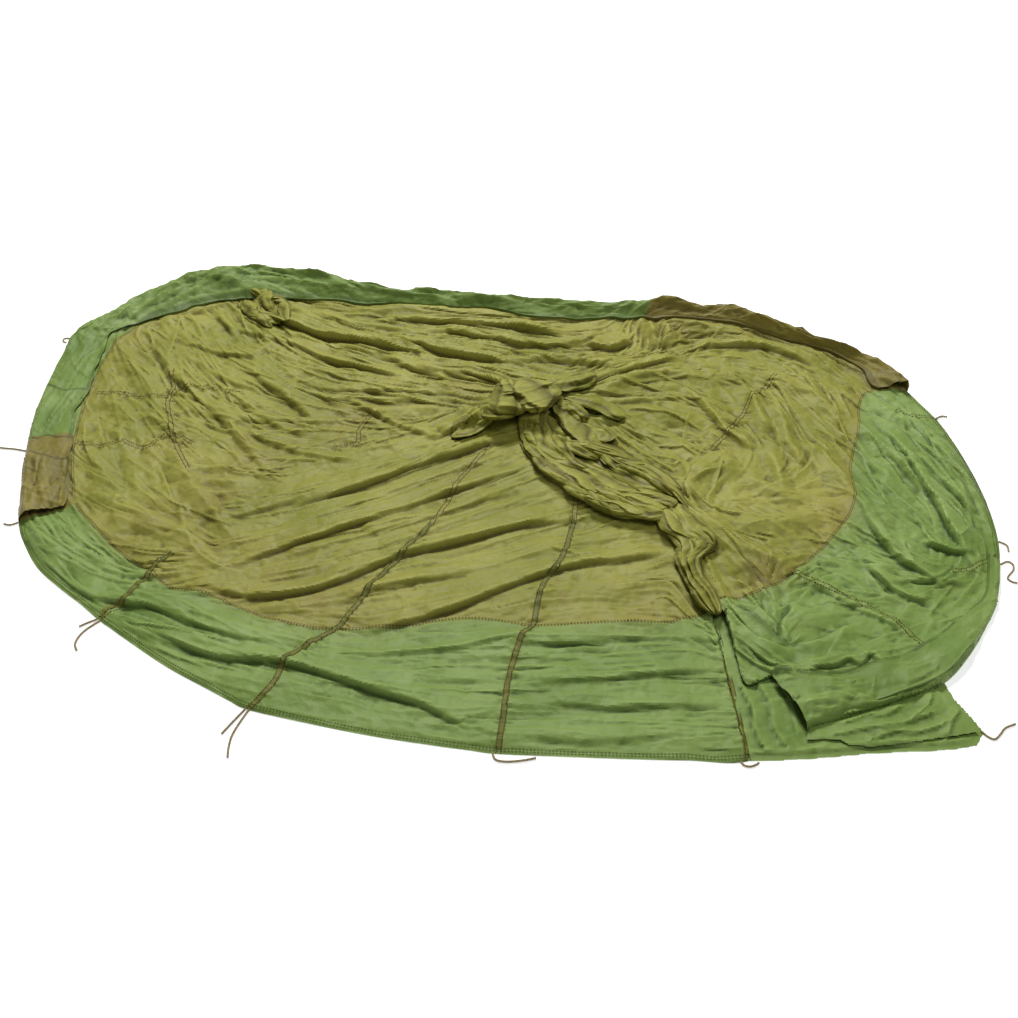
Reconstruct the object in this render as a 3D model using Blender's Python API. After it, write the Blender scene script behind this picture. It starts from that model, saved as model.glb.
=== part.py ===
"""Round parachute canopy, spread out and rumpled on a floor.

Sixteen gores: an olive crown with its apex gathered into a knot, a band of skirt
panels sewn round it, radial seam tapes and the cut ends of the suspension lines.
Metres, +Z up, resting on z = 0.
"""
import math

import bpy
import numpy as np
from mathutils import Vector, bvhtree, geometry

# ---- driving dimensions (metres) -------------------------------------------------
CLOTH = 0.002            # sheet thickness of the solids
SEAM_GAP = 0.00025       # each piece stays this far inside its seam line
CELL = 0.052             # spacing of the plain cloth points
RIDGE_STEP = 0.030       # spacing of the points along a fold
FLAT_BELOW = 0.0035      # cloth lower than this lies flat on the floor
ROW_STEP = 0.050         # spacing of the sections of a turned-over panel
UNDER_FLAP = 0.005       # how high the front flap rides over the panel below it
TAPE_WIDE = 0.013        # radial seam tape
TAPE_THICK = 0.0010
TAPE_CLEAR = 0.0008      # tape above the cloth it is sewn to
CORD = 0.004             # suspension line diameter
CORD_REST = 0.0021       # cord axis above the floor
CENTRE = (-0.048, 0.1437)  # middle of the laid-out canopy in the layout drawing

OLIVE = (0.36, 0.34, 0.12, 1.0)
GREEN = (0.26, 0.37, 0.15, 1.0)
BROWN = (0.33, 0.27, 0.12, 1.0)
TAPE = (0.30, 0.31, 0.15, 1.0)
LINE = (0.42, 0.37, 0.24, 1.0)

# ---- the rim: crown seam point, outer edge point, turn-back depth, turn-back height
# Stations run round the canopy from the left seam along the front, right, back, left.
FRONT = {
    "skirt_01": [(-.900, .005, -1.003, -.045), (-.860, -.045, -.975, -.105),
                 (-.815, -.100, -.925, -.180), (-.765, -.150, -.865, -.238),
                 (-.725, -.178, -.815, -.280), (-.695, -.205, -.765, -.325)],
    "skirt_02": [(-.695, -.205, -.765, -.325), (-.650, -.243, -.690, -.385),
                 (-.590, -.255, -.610, -.445), (-.520, -.292, -.530, -.495),
                 (-.440, -.330, -.490, -.520), (-.345, -.352, -.450, -.542)],
    "skirt_03": [(-.345, -.352, -.450, -.542), (-.260, -.352, -.340, -.573),
                 (-.180, -.345, -.230, -.600), (-.100, -.325, -.125, -.620),
                 (-.030, -.330, -.065, -.630), (.045, -.345, -.020, -.637)],
    "skirt_04": [(.045, -.345, -.020, -.637), (.130, -.345, .090, -.643),
                 (.220, -.337, .200, -.648), (.300, -.336, .300, -.651),
                 (.378, -.310, .397, -.652)],
    "skirt_07": [(.727, .060, .965, -.170), (.735, .120, .985, -.095),
                 (.757, .190, .993, -.030), (.780, .250, .997, .050),
                 (.797, .310, .995, .150), (.808, .360, .986, .240),
                 (.830, .410, .972, .318), (.855, .430, .935, .425)],
}
TURNED = {
    "skirt_06": [(.392, -.283, .505, -.590, .130, .018), (.450, -.270, .555, -.572, .122, .017),
                 (.510, -.240, .610, -.553, .110, .016), (.555, -.200, .670, -.532, .105, .016),
                 (.600, -.155, .730, -.506, .105, .015), (.640, -.110, .785, -.470, .095, .015),
                 (.675, -.065, .840, -.408, .065, .014), (.705, -.020, .885, -.345, .040, .013),
                 (.722, .020, .925, -.280, .026, .012), (.727, .060, .965, -.170, .022, .011)],
    "skirt_08": [(.855, .430, .935, .425, .045, .026), (.832, .500, .905, .490, .045, .034),
                 (.785, .555, .865, .535, .042, .036), (.730, .600, .800, .580, .036, .036),
                 (.660, .645, .735, .630, .036, .036), (.580, .690, .660, .685, .038, .038),
                 (.500, .708, .575, .740, .045, .046), (.420, .720, .470, .762, .040, .048),
                 (.340, .730, .370, .780, .036, .044)],
    "skirt_09": [(.340, .730, .370, .780, .036, .034), (.250, .735, .250, .782, .034, .034),
                 (.150, .742, .150, .788, .034, .034), (.050, .752, .050, .800, .034, .036),
                 (-.050, .765, -.050, .812, .034, .036)],
    "skirt_10": [(-.050, .765, -.050, .812, .034, .036), (-.150, .780, -.150, .832, .036, .038),
                 (-.250, .785, -.250, .842, .040, .040), (-.350, .800, -.350, .862, .044, .042),
                 (-.440, .818, -.450, .892, .050, .046)],
    "skirt_11": [(-.440, .818, -.450, .892, .054, .046), (-.540, .838, -.545, .922, .062, .050),
                 (-.640, .850, -.645, .940, .068, .052), (-.720, .842, -.740, .932, .070, .056)],
    "skirt_12": [(-.720, .842, -.740, .932, .070, .056), (-.800, .815, -.830, .902, .070, .046),
                 (-.865, .775, -.920, .852, .072, .044), (-.925, .722, -.985, .790, .068, .036),
                 (-.962, .662, -1.083, .665, .090, .022)],
    "skirt_13": [(-.962, .662, -1.083, .665, .098, .015), (-.978, .600, -1.090, .600, .098, .014),
                 (-.984, .530, -1.092, .530, .098, .014), (-.985, .455, -1.090, .455, .098, .014)],
    "skirt_14": [(-.985, .455, -1.090, .455, .098, .014), (-.984, .380, -1.087, .380, .097, .014),
                 (-.975, .310, -1.080, .305, .098, .014), (-.965, .240, -1.068, .230, .098, .014)],
    "skirt_15": [(-.965, .240, -1.068, .230, .096, .015), (-.952, .170, -1.052, .150, .096, .016),
                 (-.930, .090, -1.030, .060, .094, .017), (-.900, .005, -1.003, -.045, .092, .018)],
}
# The panel tucked under the front flap, drawn as its own outline.
TUCKED = [(.397, -.652), (.450, -.651), (.500, -.648), (.550, -.643), (.600, -.637), (.650, -.634),
          (.700, -.632), (.745, -.628), (.785, -.620), (.800, -.590), (.790, -.550), (.778, -.518),
          (.720, -.470), (.660, -.440), (.600, -.400), (.540, -.360), (.480, -.330), (.430, -.316),
          (.378, -.310), (.383, -.400), (.3885, -.500), (.393, -.580)]
BROWN_PANELS = ("skirt_08", "skirt_15")

# ---- folds: height, width on the left side, width on the right side, crest line ---
# Crest lines run towards the apex, so the left side is the far, gentle one.
FAN_FOLDS = [
    (.018, .050, .016, [(-.62, -.045), (-.55, -.02), (-.45, .02), (-.35, .065), (-.25, .115), (-.08, .205)]),
    (.028, .045, .014, [(-.46, 0), (-.38, .035), (-.30, .07), (-.20, .13), (-.10, .19), (.0, .245)]),
    (.016, .030, .018, [(-.46, -.075), (-.36, -.02), (-.26, .04), (-.16, .095), (-.06, .15), (.02, .20)]),
    (.030, .045, .014, [(-.54, -.175), (-.45, -.13), (-.38, -.095), (-.30, -.055), (-.22, -.01),
                        (-.14, .035), (-.05, .085), (.04, .13)]),
    (.014, .030, .020, [(-.45, -.155), (-.35, -.115), (-.25, -.075), (-.15, -.025), (-.05, .025), (.06, .07)]),
    (.014, .030, .020, [(-.42, -.195), (-.30, -.145), (-.20, -.105), (-.10, -.05), (.0, .0), (.10, .03)]),
    (.030, .050, .014, [(-.60, -.225), (-.52, -.255), (-.45, -.262), (-.38, -.248), (-.30, -.21),
                        (-.22, -.155), (-.15, -.13), (-.05, -.09), (.03, -.06), (.14, -.04)]),
    (.016, .030, .020, [(-.34, -.285), (-.25, -.24), (-.15, -.215), (-.05, -.185), (.05, -.15),
                        (.16, -.115), (.28, -.085)]),
    (.030, .050, .014, [(-.26, -.352), (-.15, -.315), (-.08, -.28), (.0, -.235), (.06, -.205),
                        (.12, -.18), (.20, -.165), (.31, -.15)]),
    (.012, .030, .025, [(.02, -.27), (.12, -.25), (.22, -.235), (.31, -.22)]),
]
LEFT_FOLDS = [
    (.018, .030, .045, [(-.80, .02), (-.76, -.01), (-.70, -.055), (-.64, -.10), (-.60, -.14), (-.56, -.19)]),
    (.022, .030, .025, [(-.74, .20), (-.70, .13), (-.66, .06), (-.60, -.02), (-.57, -.07), (-.53, -.145)]),
    (.014, .025, .025, [(-.92, .18), (-.88, .13), (-.84, .07), (-.80, .02)]),
    (.010, .020, .020, [(-.83, .19), (-.80, .11), (-.77, .02)]),
    (.014, .025, .030, [(-.93, .58), (-.88, .53), (-.85, .46), (-.82, .39), (-.79, .33), (-.76, .27)]),
    (.020, .035, .022, [(-.88, .635), (-.81, .51), (-.77, .46), (-.72, .40), (-.67, .345), (-.62, .28),
                        (-.585, .225), (-.54, .165), (-.51, .11)]),
    (.014, .030, .022, [(-.83, .60), (-.77, .56), (-.72, .52), (-.67, .475), (-.62, .44), (-.56, .41)]),
    (.034, .060, .016, [(-.80, .63), (-.75, .61), (-.72, .59), (-.66, .57), (-.60, .56)]),
    (.020, .035, .022, [(-.64, .54), (-.60, .49), (-.56, .43), (-.50, .385), (-.45, .33), (-.41, .28)]),
    (.016, .030, .018, [(-.66, .40), (-.60, .355), (-.55, .31), (-.50, .275), (-.44, .25)]),
    (.012, .025, .025, [(-.95, .39), (-.90, .35), (-.86, .30), (-.82, .25)]),
    (.016, .030, .020, [(-.60, .28), (-.55, .24), (-.50, .21), (-.42, .18), (-.34, .16)]),
]
BACK_FOLDS = [
    (.038, .055, .015, [(-.60, .76), (-.565, .715), (-.52, .685), (-.47, .655), (-.40, .63),
                        (-.33, .61), (-.27, .595), (-.21, .58)]),
    (.024, .035, .015, [(-.56, .64), (-.50, .60), (-.45, .56), (-.40, .53), (-.34, .51), (-.24, .485)]),
    (.020, .030, .015, [(-.30, .57), (-.26, .54), (-.22, .51), (-.17, .49), (-.14, .465)]),
    (.032, .045, .015, [(-.30, .66), (-.20, .60), (-.14, .575), (-.06, .555), (.0, .545)]),
    (.024, .028, .014, [(-.16, .50), (-.11, .49), (-.05, .465), (-.01, .44)]),
    (.016, .025, .018, [(-.38, .41), (-.35, .37), (-.31, .33), (-.25, .28), (-.16, .245)]),
    (.030, .030, .022, [(-.15, .255), (-.11, .29), (-.07, .34)]),
    (.032, .030, .028, [(-.40, .765), (-.30, .765), (-.20, .76), (-.10, .755), (.02, .745)]),
    (.030, .030, .020, [(-.34, .715), (-.24, .725), (-.14, .715), (-.02, .705), (.06, .685), (.15, .66)]),
    (.026, .030, .020, [(-.22, .665), (-.12, .665), (-.03, .64), (.05, .61), (.12, .60), (.18, .62)]),
    (.028, .035, .018, [(.19, .62), (.23, .60), (.27, .605), (.30, .64)]),
    (.026, .040, .030, [(.02, .55), (.08, .55), (.16, .545), (.22, .52), (.28, .505)]),
    (.040, .022, .022, [(.35, .71), (.36, .65), (.365, .60)]),
    (.040, .022, .022, [(.39, .70), (.395, .65), (.39, .595)]),
    (.030, .030, .030, [(.40, .70), (.48, .69), (.54, .67), (.60, .645)]),
    (.026, .030, .020, [(.44, .60), (.50, .615), (.57, .615), (.64, .60), (.70, .56), (.75, .52)]),
]
RIGHT_FOLDS = [
    (.022, .030, .030, [(.16, .36), (.22, .42), (.30, .46), (.38, .475), (.47, .47), (.55, .49)]),
    (.018, .030, .030, [(.60, .50), (.65, .455), (.70, .41), (.73, .36), (.755, .31)]),
    (.022, .022, .022, [(.56, .41), (.57, .33), (.585, .26)]),
    (.018, .022, .018, [(.575, .22), (.578, .16), (.578, .10), (.575, .04)]),
    (.016, .025, .025, [(.61, .40), (.62, .30), (.62, .22), (.645, .14)]),
    (.016, .030, .025, [(.66, .22), (.69, .15), (.71, .09), (.725, .02), (.745, -.05), (.775, -.11)]),
    (.018, .030, .022, [(.41, .43), (.45, .38), (.475, .31), (.50, .25), (.545, .20)]),
    (.014, .025, .025, [(.22, .33), (.30, .27), (.37, .22), (.42, .17)]),
    (.016, .025, .025, [(.27, .37), (.35, .32), (.42, .29), (.48, .25)]),
    (.026, .045, .040, [(.365, .03), (.39, .08), (.44, .13), (.50, .15)]),
    (.016, .025, .025, [(.50, .11), (.55, .05), (.60, .01)]),
    (.026, .035, .030, [(.55, -.20), (.50, -.165), (.46, -.135), (.42, -.09), (.38, -.03)]),
    (.024, .025, .020, [(.465, -.235), (.445, -.19), (.425, -.14)]),
    (.016, .030, .030, [(.63, -.03), (.58, -.05), (.52, -.06), (.46, -.04)]),
]
GATHER = [
    (.050, .050, .042, [(.040, .27), (.045, .20), (.070, .12), (.115, .055), (.175, .0), (.245, -.045),
                        (.300, -.065), (.330, -.11), (.345, -.17), (.352, -.24), (.362, -.295)]),
    (.042, .040, .045, [(.120, .26), (.140, .18), (.180, .12), (.250, .065), (.320, .015), (.365, -.03),
                        (.392, -.09), (.385, -.16), (.375, -.22)]),
    (.075, .055, .050, [(-.045, .27), (-.02, .325), (.0, .38)]),
    (.085, .050, .050, [(.040, .28), (.07, .33), (.095, .37)]),
    (.050, .040, .035, [(.095, .38), (.15, .39), (.20, .42)]),
]
SKIRT_FOLDS = [
    (.016, .030, .030, [(-.97, -.06), (-.92, -.12), (-.87, -.17), (-.82, -.21)]),
    (.018, .030, .025, [(-.86, -.22), (-.80, -.26), (-.74, -.28), (-.66, -.30), (-.58, -.34),
                        (-.50, -.37), (-.42, -.385), (-.34, -.40)]),
    (.020, .030, .025, [(-.68, -.34), (-.60, -.385), (-.52, -.42), (-.44, -.43), (-.36, -.45),
                        (-.28, -.48), (-.20, -.51), (-.12, -.55), (-.06, -.58)]),
    (.016, .030, .020, [(-.30, -.42), (-.22, -.41), (-.12, -.40), (-.03, -.38), (.03, -.37)]),
    (.014, .030, .020, [(-.22, -.47), (-.12, -.48), (-.02, -.475)]),
    (.014, .030, .020, [(.03, -.39), (.12, -.385), (.22, -.37), (.30, -.375), (.37, -.38)]),
    (.016, .035, .022, [(.02, -.47), (.10, -.48), (.18, -.47), (.28, -.455), (.37, -.45)]),
    (.016, .030, .020, [(.06, -.53), (.16, -.535), (.28, -.53), (.37, -.53)]),
    (.012, .025, .020, [(.03, -.60), (.12, -.61), (.22, -.60), (.30, -.59)]),
    (.020, .030, .022, [(.79, .27), (.83, .20), (.86, .12), (.88, .05), (.92, -.02)]),
    (.018, .025, .025, [(.80, .12), (.82, .05), (.84, -.01)]),
    (.018, .025, .025, [(.90, .27), (.93, .19), (.96, .11), (.975, .03)]),
    (.016, .025, .025, [(.84, .38), (.87, .33), (.90, .27)]),
]

# ---- radial seam tapes: route on the cloth, from the crown out to the skirt hem ---
TAPES = {
    "seam_tape_1": [(-.665, -.150), (-.690, -.180), (-.700, -.215), (-.715, -.250), (-.725, -.280),
                    (-.755, -.300), (-.762, -.318)],
    "seam_tape_2": [(-.155, -.060), (-.175, -.095), (-.205, -.140), (-.235, -.190), (-.265, -.240),
                    (-.290, -.295), (-.315, -.345), (-.350, -.375), (-.380, -.410), (-.405, -.440),
                    (-.412, -.480), (-.430, -.515), (-.447, -.536)],
    "seam_tape_3": [(.130, -.030), (.125, -.080), (.112, -.140), (.095, -.185), (.072, -.220),
                    (.055, -.280), (.045, -.340), (.025, -.370), (.010, -.420), (.000, -.470),
                    (-.006, -.520), (-.012, -.580), (-.018, -.628)],
    "seam_tape_4": [(.389, -.420), (.391, -.470), (.393, -.520), (.395, -.580), (.396, -.640)],
}

# ---- suspension line ends on the floor: (x, y) along each route -------------------
CORDS = {
    "line_end_01": [(-.7632, -.327), (-.783, -.350), (-.792, -.370), (-.793, -.388), (-.786, -.402)],
    "line_end_02": [(-.7692, -.3228), (-.786, -.333), (-.798, -.342)],
    "line_end_03": [(-.4498, -.5427), (-.462, -.575), (-.469, -.600), (-.470, -.625), (-.468, -.645)],
    "line_end_04": [(-.4555, -.5395), (-.472, -.568), (-.487, -.595)],
    "line_end_05": [(-.0275, -.6376), (-.022, -.650), (-.005, -.654), (.020, -.652), (.045, -.6465)],
    "line_end_06": [(.384, -.6536), (.389, -.662), (.399, -.664), (.409, -.660), (.414, -.6565)],
    "line_end_07": [(.8016, -.590), (.810, -.602), (.820, -.607), (.832, -.597), (.845, -.583), (.865, -.574)],
    "line_end_08": [(.9833, -.1042), (.996, -.116), (.994, -.134)],
    "line_end_09": [(.9665, -.1717), (.982, -.164), (.990, -.172), (.986, -.188), (.973, -.203),
                    (.967, -.213), (.973, -.222), (.982, -.225)],
    "line_end_10": [(.9711, .3158), (.987, .327), (1.000, .324)],
    "line_end_11": [(.9121, .4638), (.938, .478), (.946, .466), (.944, .450), (.938, .441)],
    "line_end_12": [(-1.0856, .6545), (-1.103, .661), (-1.111, .655), (-1.108, .645), (-1.100, .641)],
    "line_end_13": [(-1.0628, .1958), (-1.090, .203), (-1.112, .206), (-1.128, .209)],
    "line_end_14": [(-1.0038, -.0452), (-1.018, -.053), (-1.032, -.050)],
}


# ---- scene and material helpers ---------------------------------------------------
def clear_scene():
    for obj in list(bpy.data.objects):
        bpy.data.objects.remove(obj, do_unlink=True)
    group = bpy.data.collections.new("parachute_canopy")
    bpy.context.scene.collection.children.link(group)
    return group


def material(name, colour, roughness=0.7):
    mat = bpy.data.materials.new(name)
    mat.use_nodes = True
    shader = mat.node_tree.nodes["Principled BSDF"]
    shader.inputs["Base Color"].default_value = colour
    shader.inputs["Roughness"].default_value = roughness
    return mat


def add_mesh(group, name, points, faces, colour):
    """Link a mesh object at the canopy's own origin."""
    mesh = bpy.data.meshes.new(name)
    moved = [(p[0] - CENTRE[0], p[1] - CENTRE[1], p[2]) for p in points]
    mesh.from_pydata(moved, [], faces)
    mesh.validate()
    mesh.materials.append(material(name + "_cloth", colour))
    obj = bpy.data.objects.new(name, mesh)
    group.objects.link(obj)
    return obj


# ---- lines ------------------------------------------------------------------------
def resample(line, step):
    """Points every step or so along a line, ends kept."""
    line = np.array(line, float)
    runs = np.hypot(*np.diff(line[:, :2], axis=0).T)
    dist = np.concatenate([[0], np.cumsum(runs)])
    count = max(2, int(round(dist[-1] / step)) + 1)
    at = np.linspace(0, dist[-1], count)
    return np.stack([np.interp(at, dist, line[:, k]) for k in range(line.shape[1])], axis=1)


def smooth_rows(rows, step):
    """Rim stations resampled evenly; each row is one section."""
    rows = np.array(rows, float)
    runs = np.hypot(*np.diff(rows[:, :2], axis=0).T) + np.hypot(*np.diff(rows[:, 2:4], axis=0).T)
    dist = np.concatenate([[0], np.cumsum(runs / 2)])
    count = max(3, int(round(dist[-1] / step)) + 1)
    at = np.linspace(0, dist[-1], count)
    return np.stack([np.interp(at, dist, rows[:, k]) for k in range(rows.shape[1])], axis=1)


def inset(outline, gap):
    """A counter-clockwise outline moved inwards by gap."""
    pts = np.array(outline, float)
    ahead = np.roll(pts, -1, axis=0) - pts
    behind = pts - np.roll(pts, 1, axis=0)
    ahead /= np.linalg.norm(ahead, axis=1)[:, None]
    behind /= np.linalg.norm(behind, axis=1)[:, None]
    along = ahead + behind
    along /= np.linalg.norm(along, axis=1)[:, None]
    return pts + gap * np.stack([-along[:, 1], along[:, 0]], axis=1)


def counter_clockwise(outline):
    pts = np.array(outline, float)
    nxt = np.roll(pts, -1, axis=0)
    area = np.sum(pts[:, 0] * nxt[:, 1] - nxt[:, 0] * pts[:, 1])
    return pts if area > 0 else pts[::-1]


# ---- height of the cloth ----------------------------------------------------------
def one_fold(xy, fold):
    """Tent with a steep and a gentle side, lower towards both ends of its crest."""
    height, left, right, line = fold
    line = np.array(line, float)
    runs = np.hypot(*np.diff(line, axis=0).T)
    start = np.concatenate([[0], np.cumsum(runs)])
    near = np.full(len(xy), 9.0)
    width = np.full(len(xy), 1.0)
    along = np.zeros(len(xy))
    for k, run in enumerate(runs):
        way = (line[k + 1] - line[k]) / run
        rel = xy - line[k]
        on = np.clip(rel @ way, 0, run)
        off = rel - on[:, None] * way
        dist = np.hypot(off[:, 0], off[:, 1])
        side = way[0] * off[:, 1] - way[1] * off[:, 0]
        closer = dist < near
        near = np.where(closer, dist, near)
        width = np.where(closer, np.where(side > 0, left, right), width)
        along = np.where(closer, (start[k] + on) / start[-1], along)
    ends = np.clip(np.minimum(along, 1 - along) / 0.18, 0, 1)
    return height * np.clip(1 - near / width, 0, 1) * (0.45 + 0.55 * ends)


def cloth_height(xy, folds):
    """Highest fold at each point, flat on the floor between folds."""
    xy = np.atleast_2d(np.array(xy, float))
    top = np.zeros(len(xy))
    for fold in folds:
        top = np.maximum(top, one_fold(xy, fold))
    return np.where(top < FLAT_BELOW, 0.0, top)


# ---- sheets as closed solids ------------------------------------------------------
def keep_apart(points, fixed, gap):
    """Points that stay at least gap from each other and from the fixed ones."""
    kept = [tuple(p) for p in fixed]
    out = []
    for p in points:
        near = np.array(kept)
        if np.min(np.hypot(near[:, 0] - p[0], near[:, 1] - p[1])) >= gap:
            kept.append(tuple(p))
            out.append(tuple(p))
    return out


def inside(xy, outline):
    """Even-odd test of points against an outline."""
    x, y = xy[:, 0], xy[:, 1]
    hit = np.zeros(len(xy), bool)
    nxt = np.roll(outline, -1, axis=0)
    for (x0, y0), (x1, y1) in zip(outline, nxt):
        if y0 == y1:
            continue
        cross = (y0 > y) != (y1 > y)
        hit ^= cross & (x < (x1 - x0) * (y - y0) / (y1 - y0) + x0)
    return hit


def plan_points(outline, folds, cell):
    """Fold crests, the feet of their steep sides, then a plain staggered grid."""
    wanted = []
    for height, left, right, line in folds:
        crest = resample(line, RIDGE_STEP)
        way = np.gradient(crest, axis=0)
        way /= np.linalg.norm(way, axis=1)[:, None]
        side = np.stack([way[:, 1], -way[:, 0]], axis=1)
        wanted += list(crest) + list((crest + side * right)[::2]) + list((crest - side * left)[::2])
    low, high = outline.min(axis=0), outline.max(axis=0)
    for j, y in enumerate(np.arange(low[1], high[1], cell * 0.866)):
        for x in np.arange(low[0] + (j % 2) * cell / 2, high[0], cell):
            wanted.append((x, y))
    wanted = np.array(wanted)
    wanted = wanted[inside(wanted, outline)]
    return keep_apart(wanted, resample(np.vstack([outline, outline[:1]]), 0.012), cell * 0.40)


def flat_sheet(group, name, outline, folds, colour, base=None, cell=CELL):
    """A lying sheet: its outline filled with points, each at the height of the cloth."""
    outline = inset(counter_clockwise(outline), SEAM_GAP)
    inner = plan_points(outline, folds, cell)
    coords = [Vector(p) for p in outline] + [Vector(p) for p in inner]
    ring = [(k, (k + 1) % len(outline)) for k in range(len(outline))]
    verts, _, tris, _, _, _ = geometry.delaunay_2d_cdt(coords, ring, [], 1, 1e-6)
    xy = np.array([(v.x, v.y) for v in verts])
    z = cloth_height(xy, folds)
    if base is not None:
        z = z + base(xy)
    low = [(x, y, h) for (x, y), h in zip(xy, z)]
    return close_sheet(group, name, low, [tuple(t) for t in tris], (0, 0, CLOTH), colour)


def close_sheet(group, name, low, tris, rise, colour):
    """Close a sheet: the low side, the high side and the rim between them."""
    n = len(low)
    high = [tuple(np.add(p, r)) for p, r in zip(low, rise if len(rise) == n else [rise] * n)]
    edges = {}
    for tri in tris:
        for k in range(len(tri)):
            a, b = tri[k], tri[(k + 1) % len(tri)]
            edges[(a, b)] = True
    rim = [(a, b) for a, b in edges if (b, a) not in edges]
    faces = [tuple(t[::-1]) for t in tris] + [tuple(v + n for v in t) for t in tris]
    for a, b in rim:
        faces += [(a, b, b + n), (a, b + n, a + n)]
    return add_mesh(group, name, low + high, faces, colour)


def turned_section(row, base):
    """One section of a turned-over panel: out along the floor, round, and back on top."""
    crown, edge, depth, lift = np.array(row[:2]), np.array(row[2:4]), row[4], row[5]
    inward = crown - edge
    reach = np.linalg.norm(inward)
    inward /= reach
    half = CLOTH / 2
    bulge = (lift - half) / 2
    path = [(reach, half + base), (reach * 0.62, half + base), (reach * 0.30, half + base)]
    path += [(bulge + 0.001, half + base), (0.0, half + base + bulge * 0.55),
             (0.0, half + base + bulge * 1.35), (bulge * 0.8, lift + base)]
    path += [(depth * 0.45 + bulge * 0.4, lift + base), (depth * 0.75, lift * 0.96 + base),
             (depth, max(lift * 0.72, 0.009) + base)]
    return [(edge[0] + inward[0] * d, edge[1] + inward[1] * d, z) for d, z in path]


def turned_sheet(group, name, rows, colour, base=0.0):
    """Panel folded back over itself, as one solid of its section."""
    rows = smooth_rows(rows, ROW_STEP)
    grid = np.array([turned_section(r, base) for r in rows])
    across = {}
    for end, inner in ((0, 1), (-1, -2)):
        plane = grid[end, 1] - grid[end, 0]
        plane = np.array([plane[1], -plane[0], 0]) / np.linalg.norm(plane)
        plane *= np.sign(plane @ (grid[inner] - grid[end]).mean(axis=0))
        grid[end] += SEAM_GAP * plane
        across[end] = plane
    away = grid[:, 1] - grid[:, 0]
    grid[:, 0] += SEAM_GAP * away / np.linalg.norm(away, axis=1)[:, None]
    n_row, n_col = grid.shape[:2]
    index = lambda i, j: i * n_col + j
    tris = []
    for i in range(n_row - 1):
        for j in range(n_col - 1):
            a, b, c, d = index(i, j), index(i + 1, j), index(i + 1, j + 1), index(i, j + 1)
            tris += [(a, b, c), (a, c, d)]
    flat = grid.reshape(-1, 3)
    normal = np.zeros_like(flat)
    for tri in tris:
        p, q, r = flat[list(tri)]
        face = np.cross(q - p, r - p)
        for v in tri:
            normal[v] += face
    normal /= np.linalg.norm(normal, axis=1)[:, None]
    floor = slice(0, 3)
    shaped = normal.reshape(n_row, n_col, 3)
    sign = np.sign(shaped[:, 0, 2].mean())
    shaped[:, floor] = (0, 0, sign)
    for end, plane in across.items():
        shaped[end] -= (shaped[end] @ plane)[:, None] * plane
        shaped[end] /= np.linalg.norm(shaped[end], axis=1)[:, None]
    normal = shaped.reshape(-1, 3)
    low = flat - normal * CLOTH / 2
    rise = normal * CLOTH
    return close_sheet(group, name, [tuple(p) for p in low], tris, [tuple(r) for r in rise], colour)


# ---- trim -------------------------------------------------------------------------
def cloth_top(objects):
    """Ray caster for the top of the finished cloth."""
    trees = []
    for obj in objects:
        mesh = obj.data
        points = [v.co for v in mesh.vertices]
        trees.append(bvhtree.BVHTree.FromPolygons(points, [tuple(p.vertices) for p in mesh.polygons]))

    def top(x, y):
        best = 0.0
        for tree in trees:
            hit = tree.ray_cast(Vector((x - CENTRE[0], y - CENTRE[1], 1.0)), Vector((0, 0, -1)))
            if hit[0] is not None:
                best = max(best, hit[0].z)
        return best
    return top


def seam_tape(group, name, route, top):
    """Narrow strip lying just above the cloth along a seam."""
    line = resample(route, 0.016)
    way = np.gradient(line, axis=0)
    way /= np.linalg.norm(way, axis=1)[:, None]
    side = np.stack([-way[:, 1], way[:, 0]], axis=1)
    level = []
    for p, s, w in zip(line, side, way):
        spots = [p + s * TAPE_WIDE * a * 0.28 + w * b * 0.004 for a in (-2, -1, 0, 1, 2) for b in range(-4, 5)]
        level.append(max(top(x, y) for x, y in spots))
    low = []
    for p, s, z in zip(line, side, level):
        for across in (-0.5, 0.5):
            low.append((p[0] + s[0] * TAPE_WIDE * across, p[1] + s[1] * TAPE_WIDE * across, z + TAPE_CLEAR))
    tris = []
    for i in range(len(line) - 1):
        a, b, c, d = 2 * i, 2 * i + 2, 2 * i + 3, 2 * i + 1
        tris += [(a, b, c), (a, c, d)]
    return close_sheet(group, name, low, tris, (0, 0, TAPE_THICK), TAPE)


def line_end(group, name, route):
    """Cut end of a suspension line lying on the floor."""
    points = resample(route, CORD * 2.2)
    curve = bpy.data.curves.new(name, "CURVE")
    curve.dimensions = "3D"
    curve.bevel_depth = CORD / 2
    curve.bevel_resolution = 2
    curve.use_fill_caps = True
    spline = curve.splines.new("POLY")
    spline.points.add(len(points) - 1)
    for point, (x, y) in zip(spline.points, points):
        point.co = (x - CENTRE[0], y - CENTRE[1], CORD_REST, 1)
    curve.materials.append(material(name + "_cord", LINE))
    obj = bpy.data.objects.new(name, curve)
    group.objects.link(obj)
    return obj


# ---- build ------------------------------------------------------------------------
def rim_chain(rows):
    """Crown side and outer side of a run of rim stations."""
    rows = smooth_rows(rows, ROW_STEP)
    return [tuple(r[:2]) for r in rows], [tuple(r[2:4]) for r in rows]


def crown_outline():
    order = ["skirt_01", "skirt_02", "skirt_03", "skirt_04", "skirt_06", "skirt_07", "skirt_08",
             "skirt_09", "skirt_10", "skirt_11", "skirt_12", "skirt_13", "skirt_14", "skirt_15"]
    outline = []
    for name in order:
        crown, _ = rim_chain(FRONT[name] if name in FRONT else TURNED[name])
        outline += crown if name == "skirt_04" else crown[:-1]
    return outline


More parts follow.
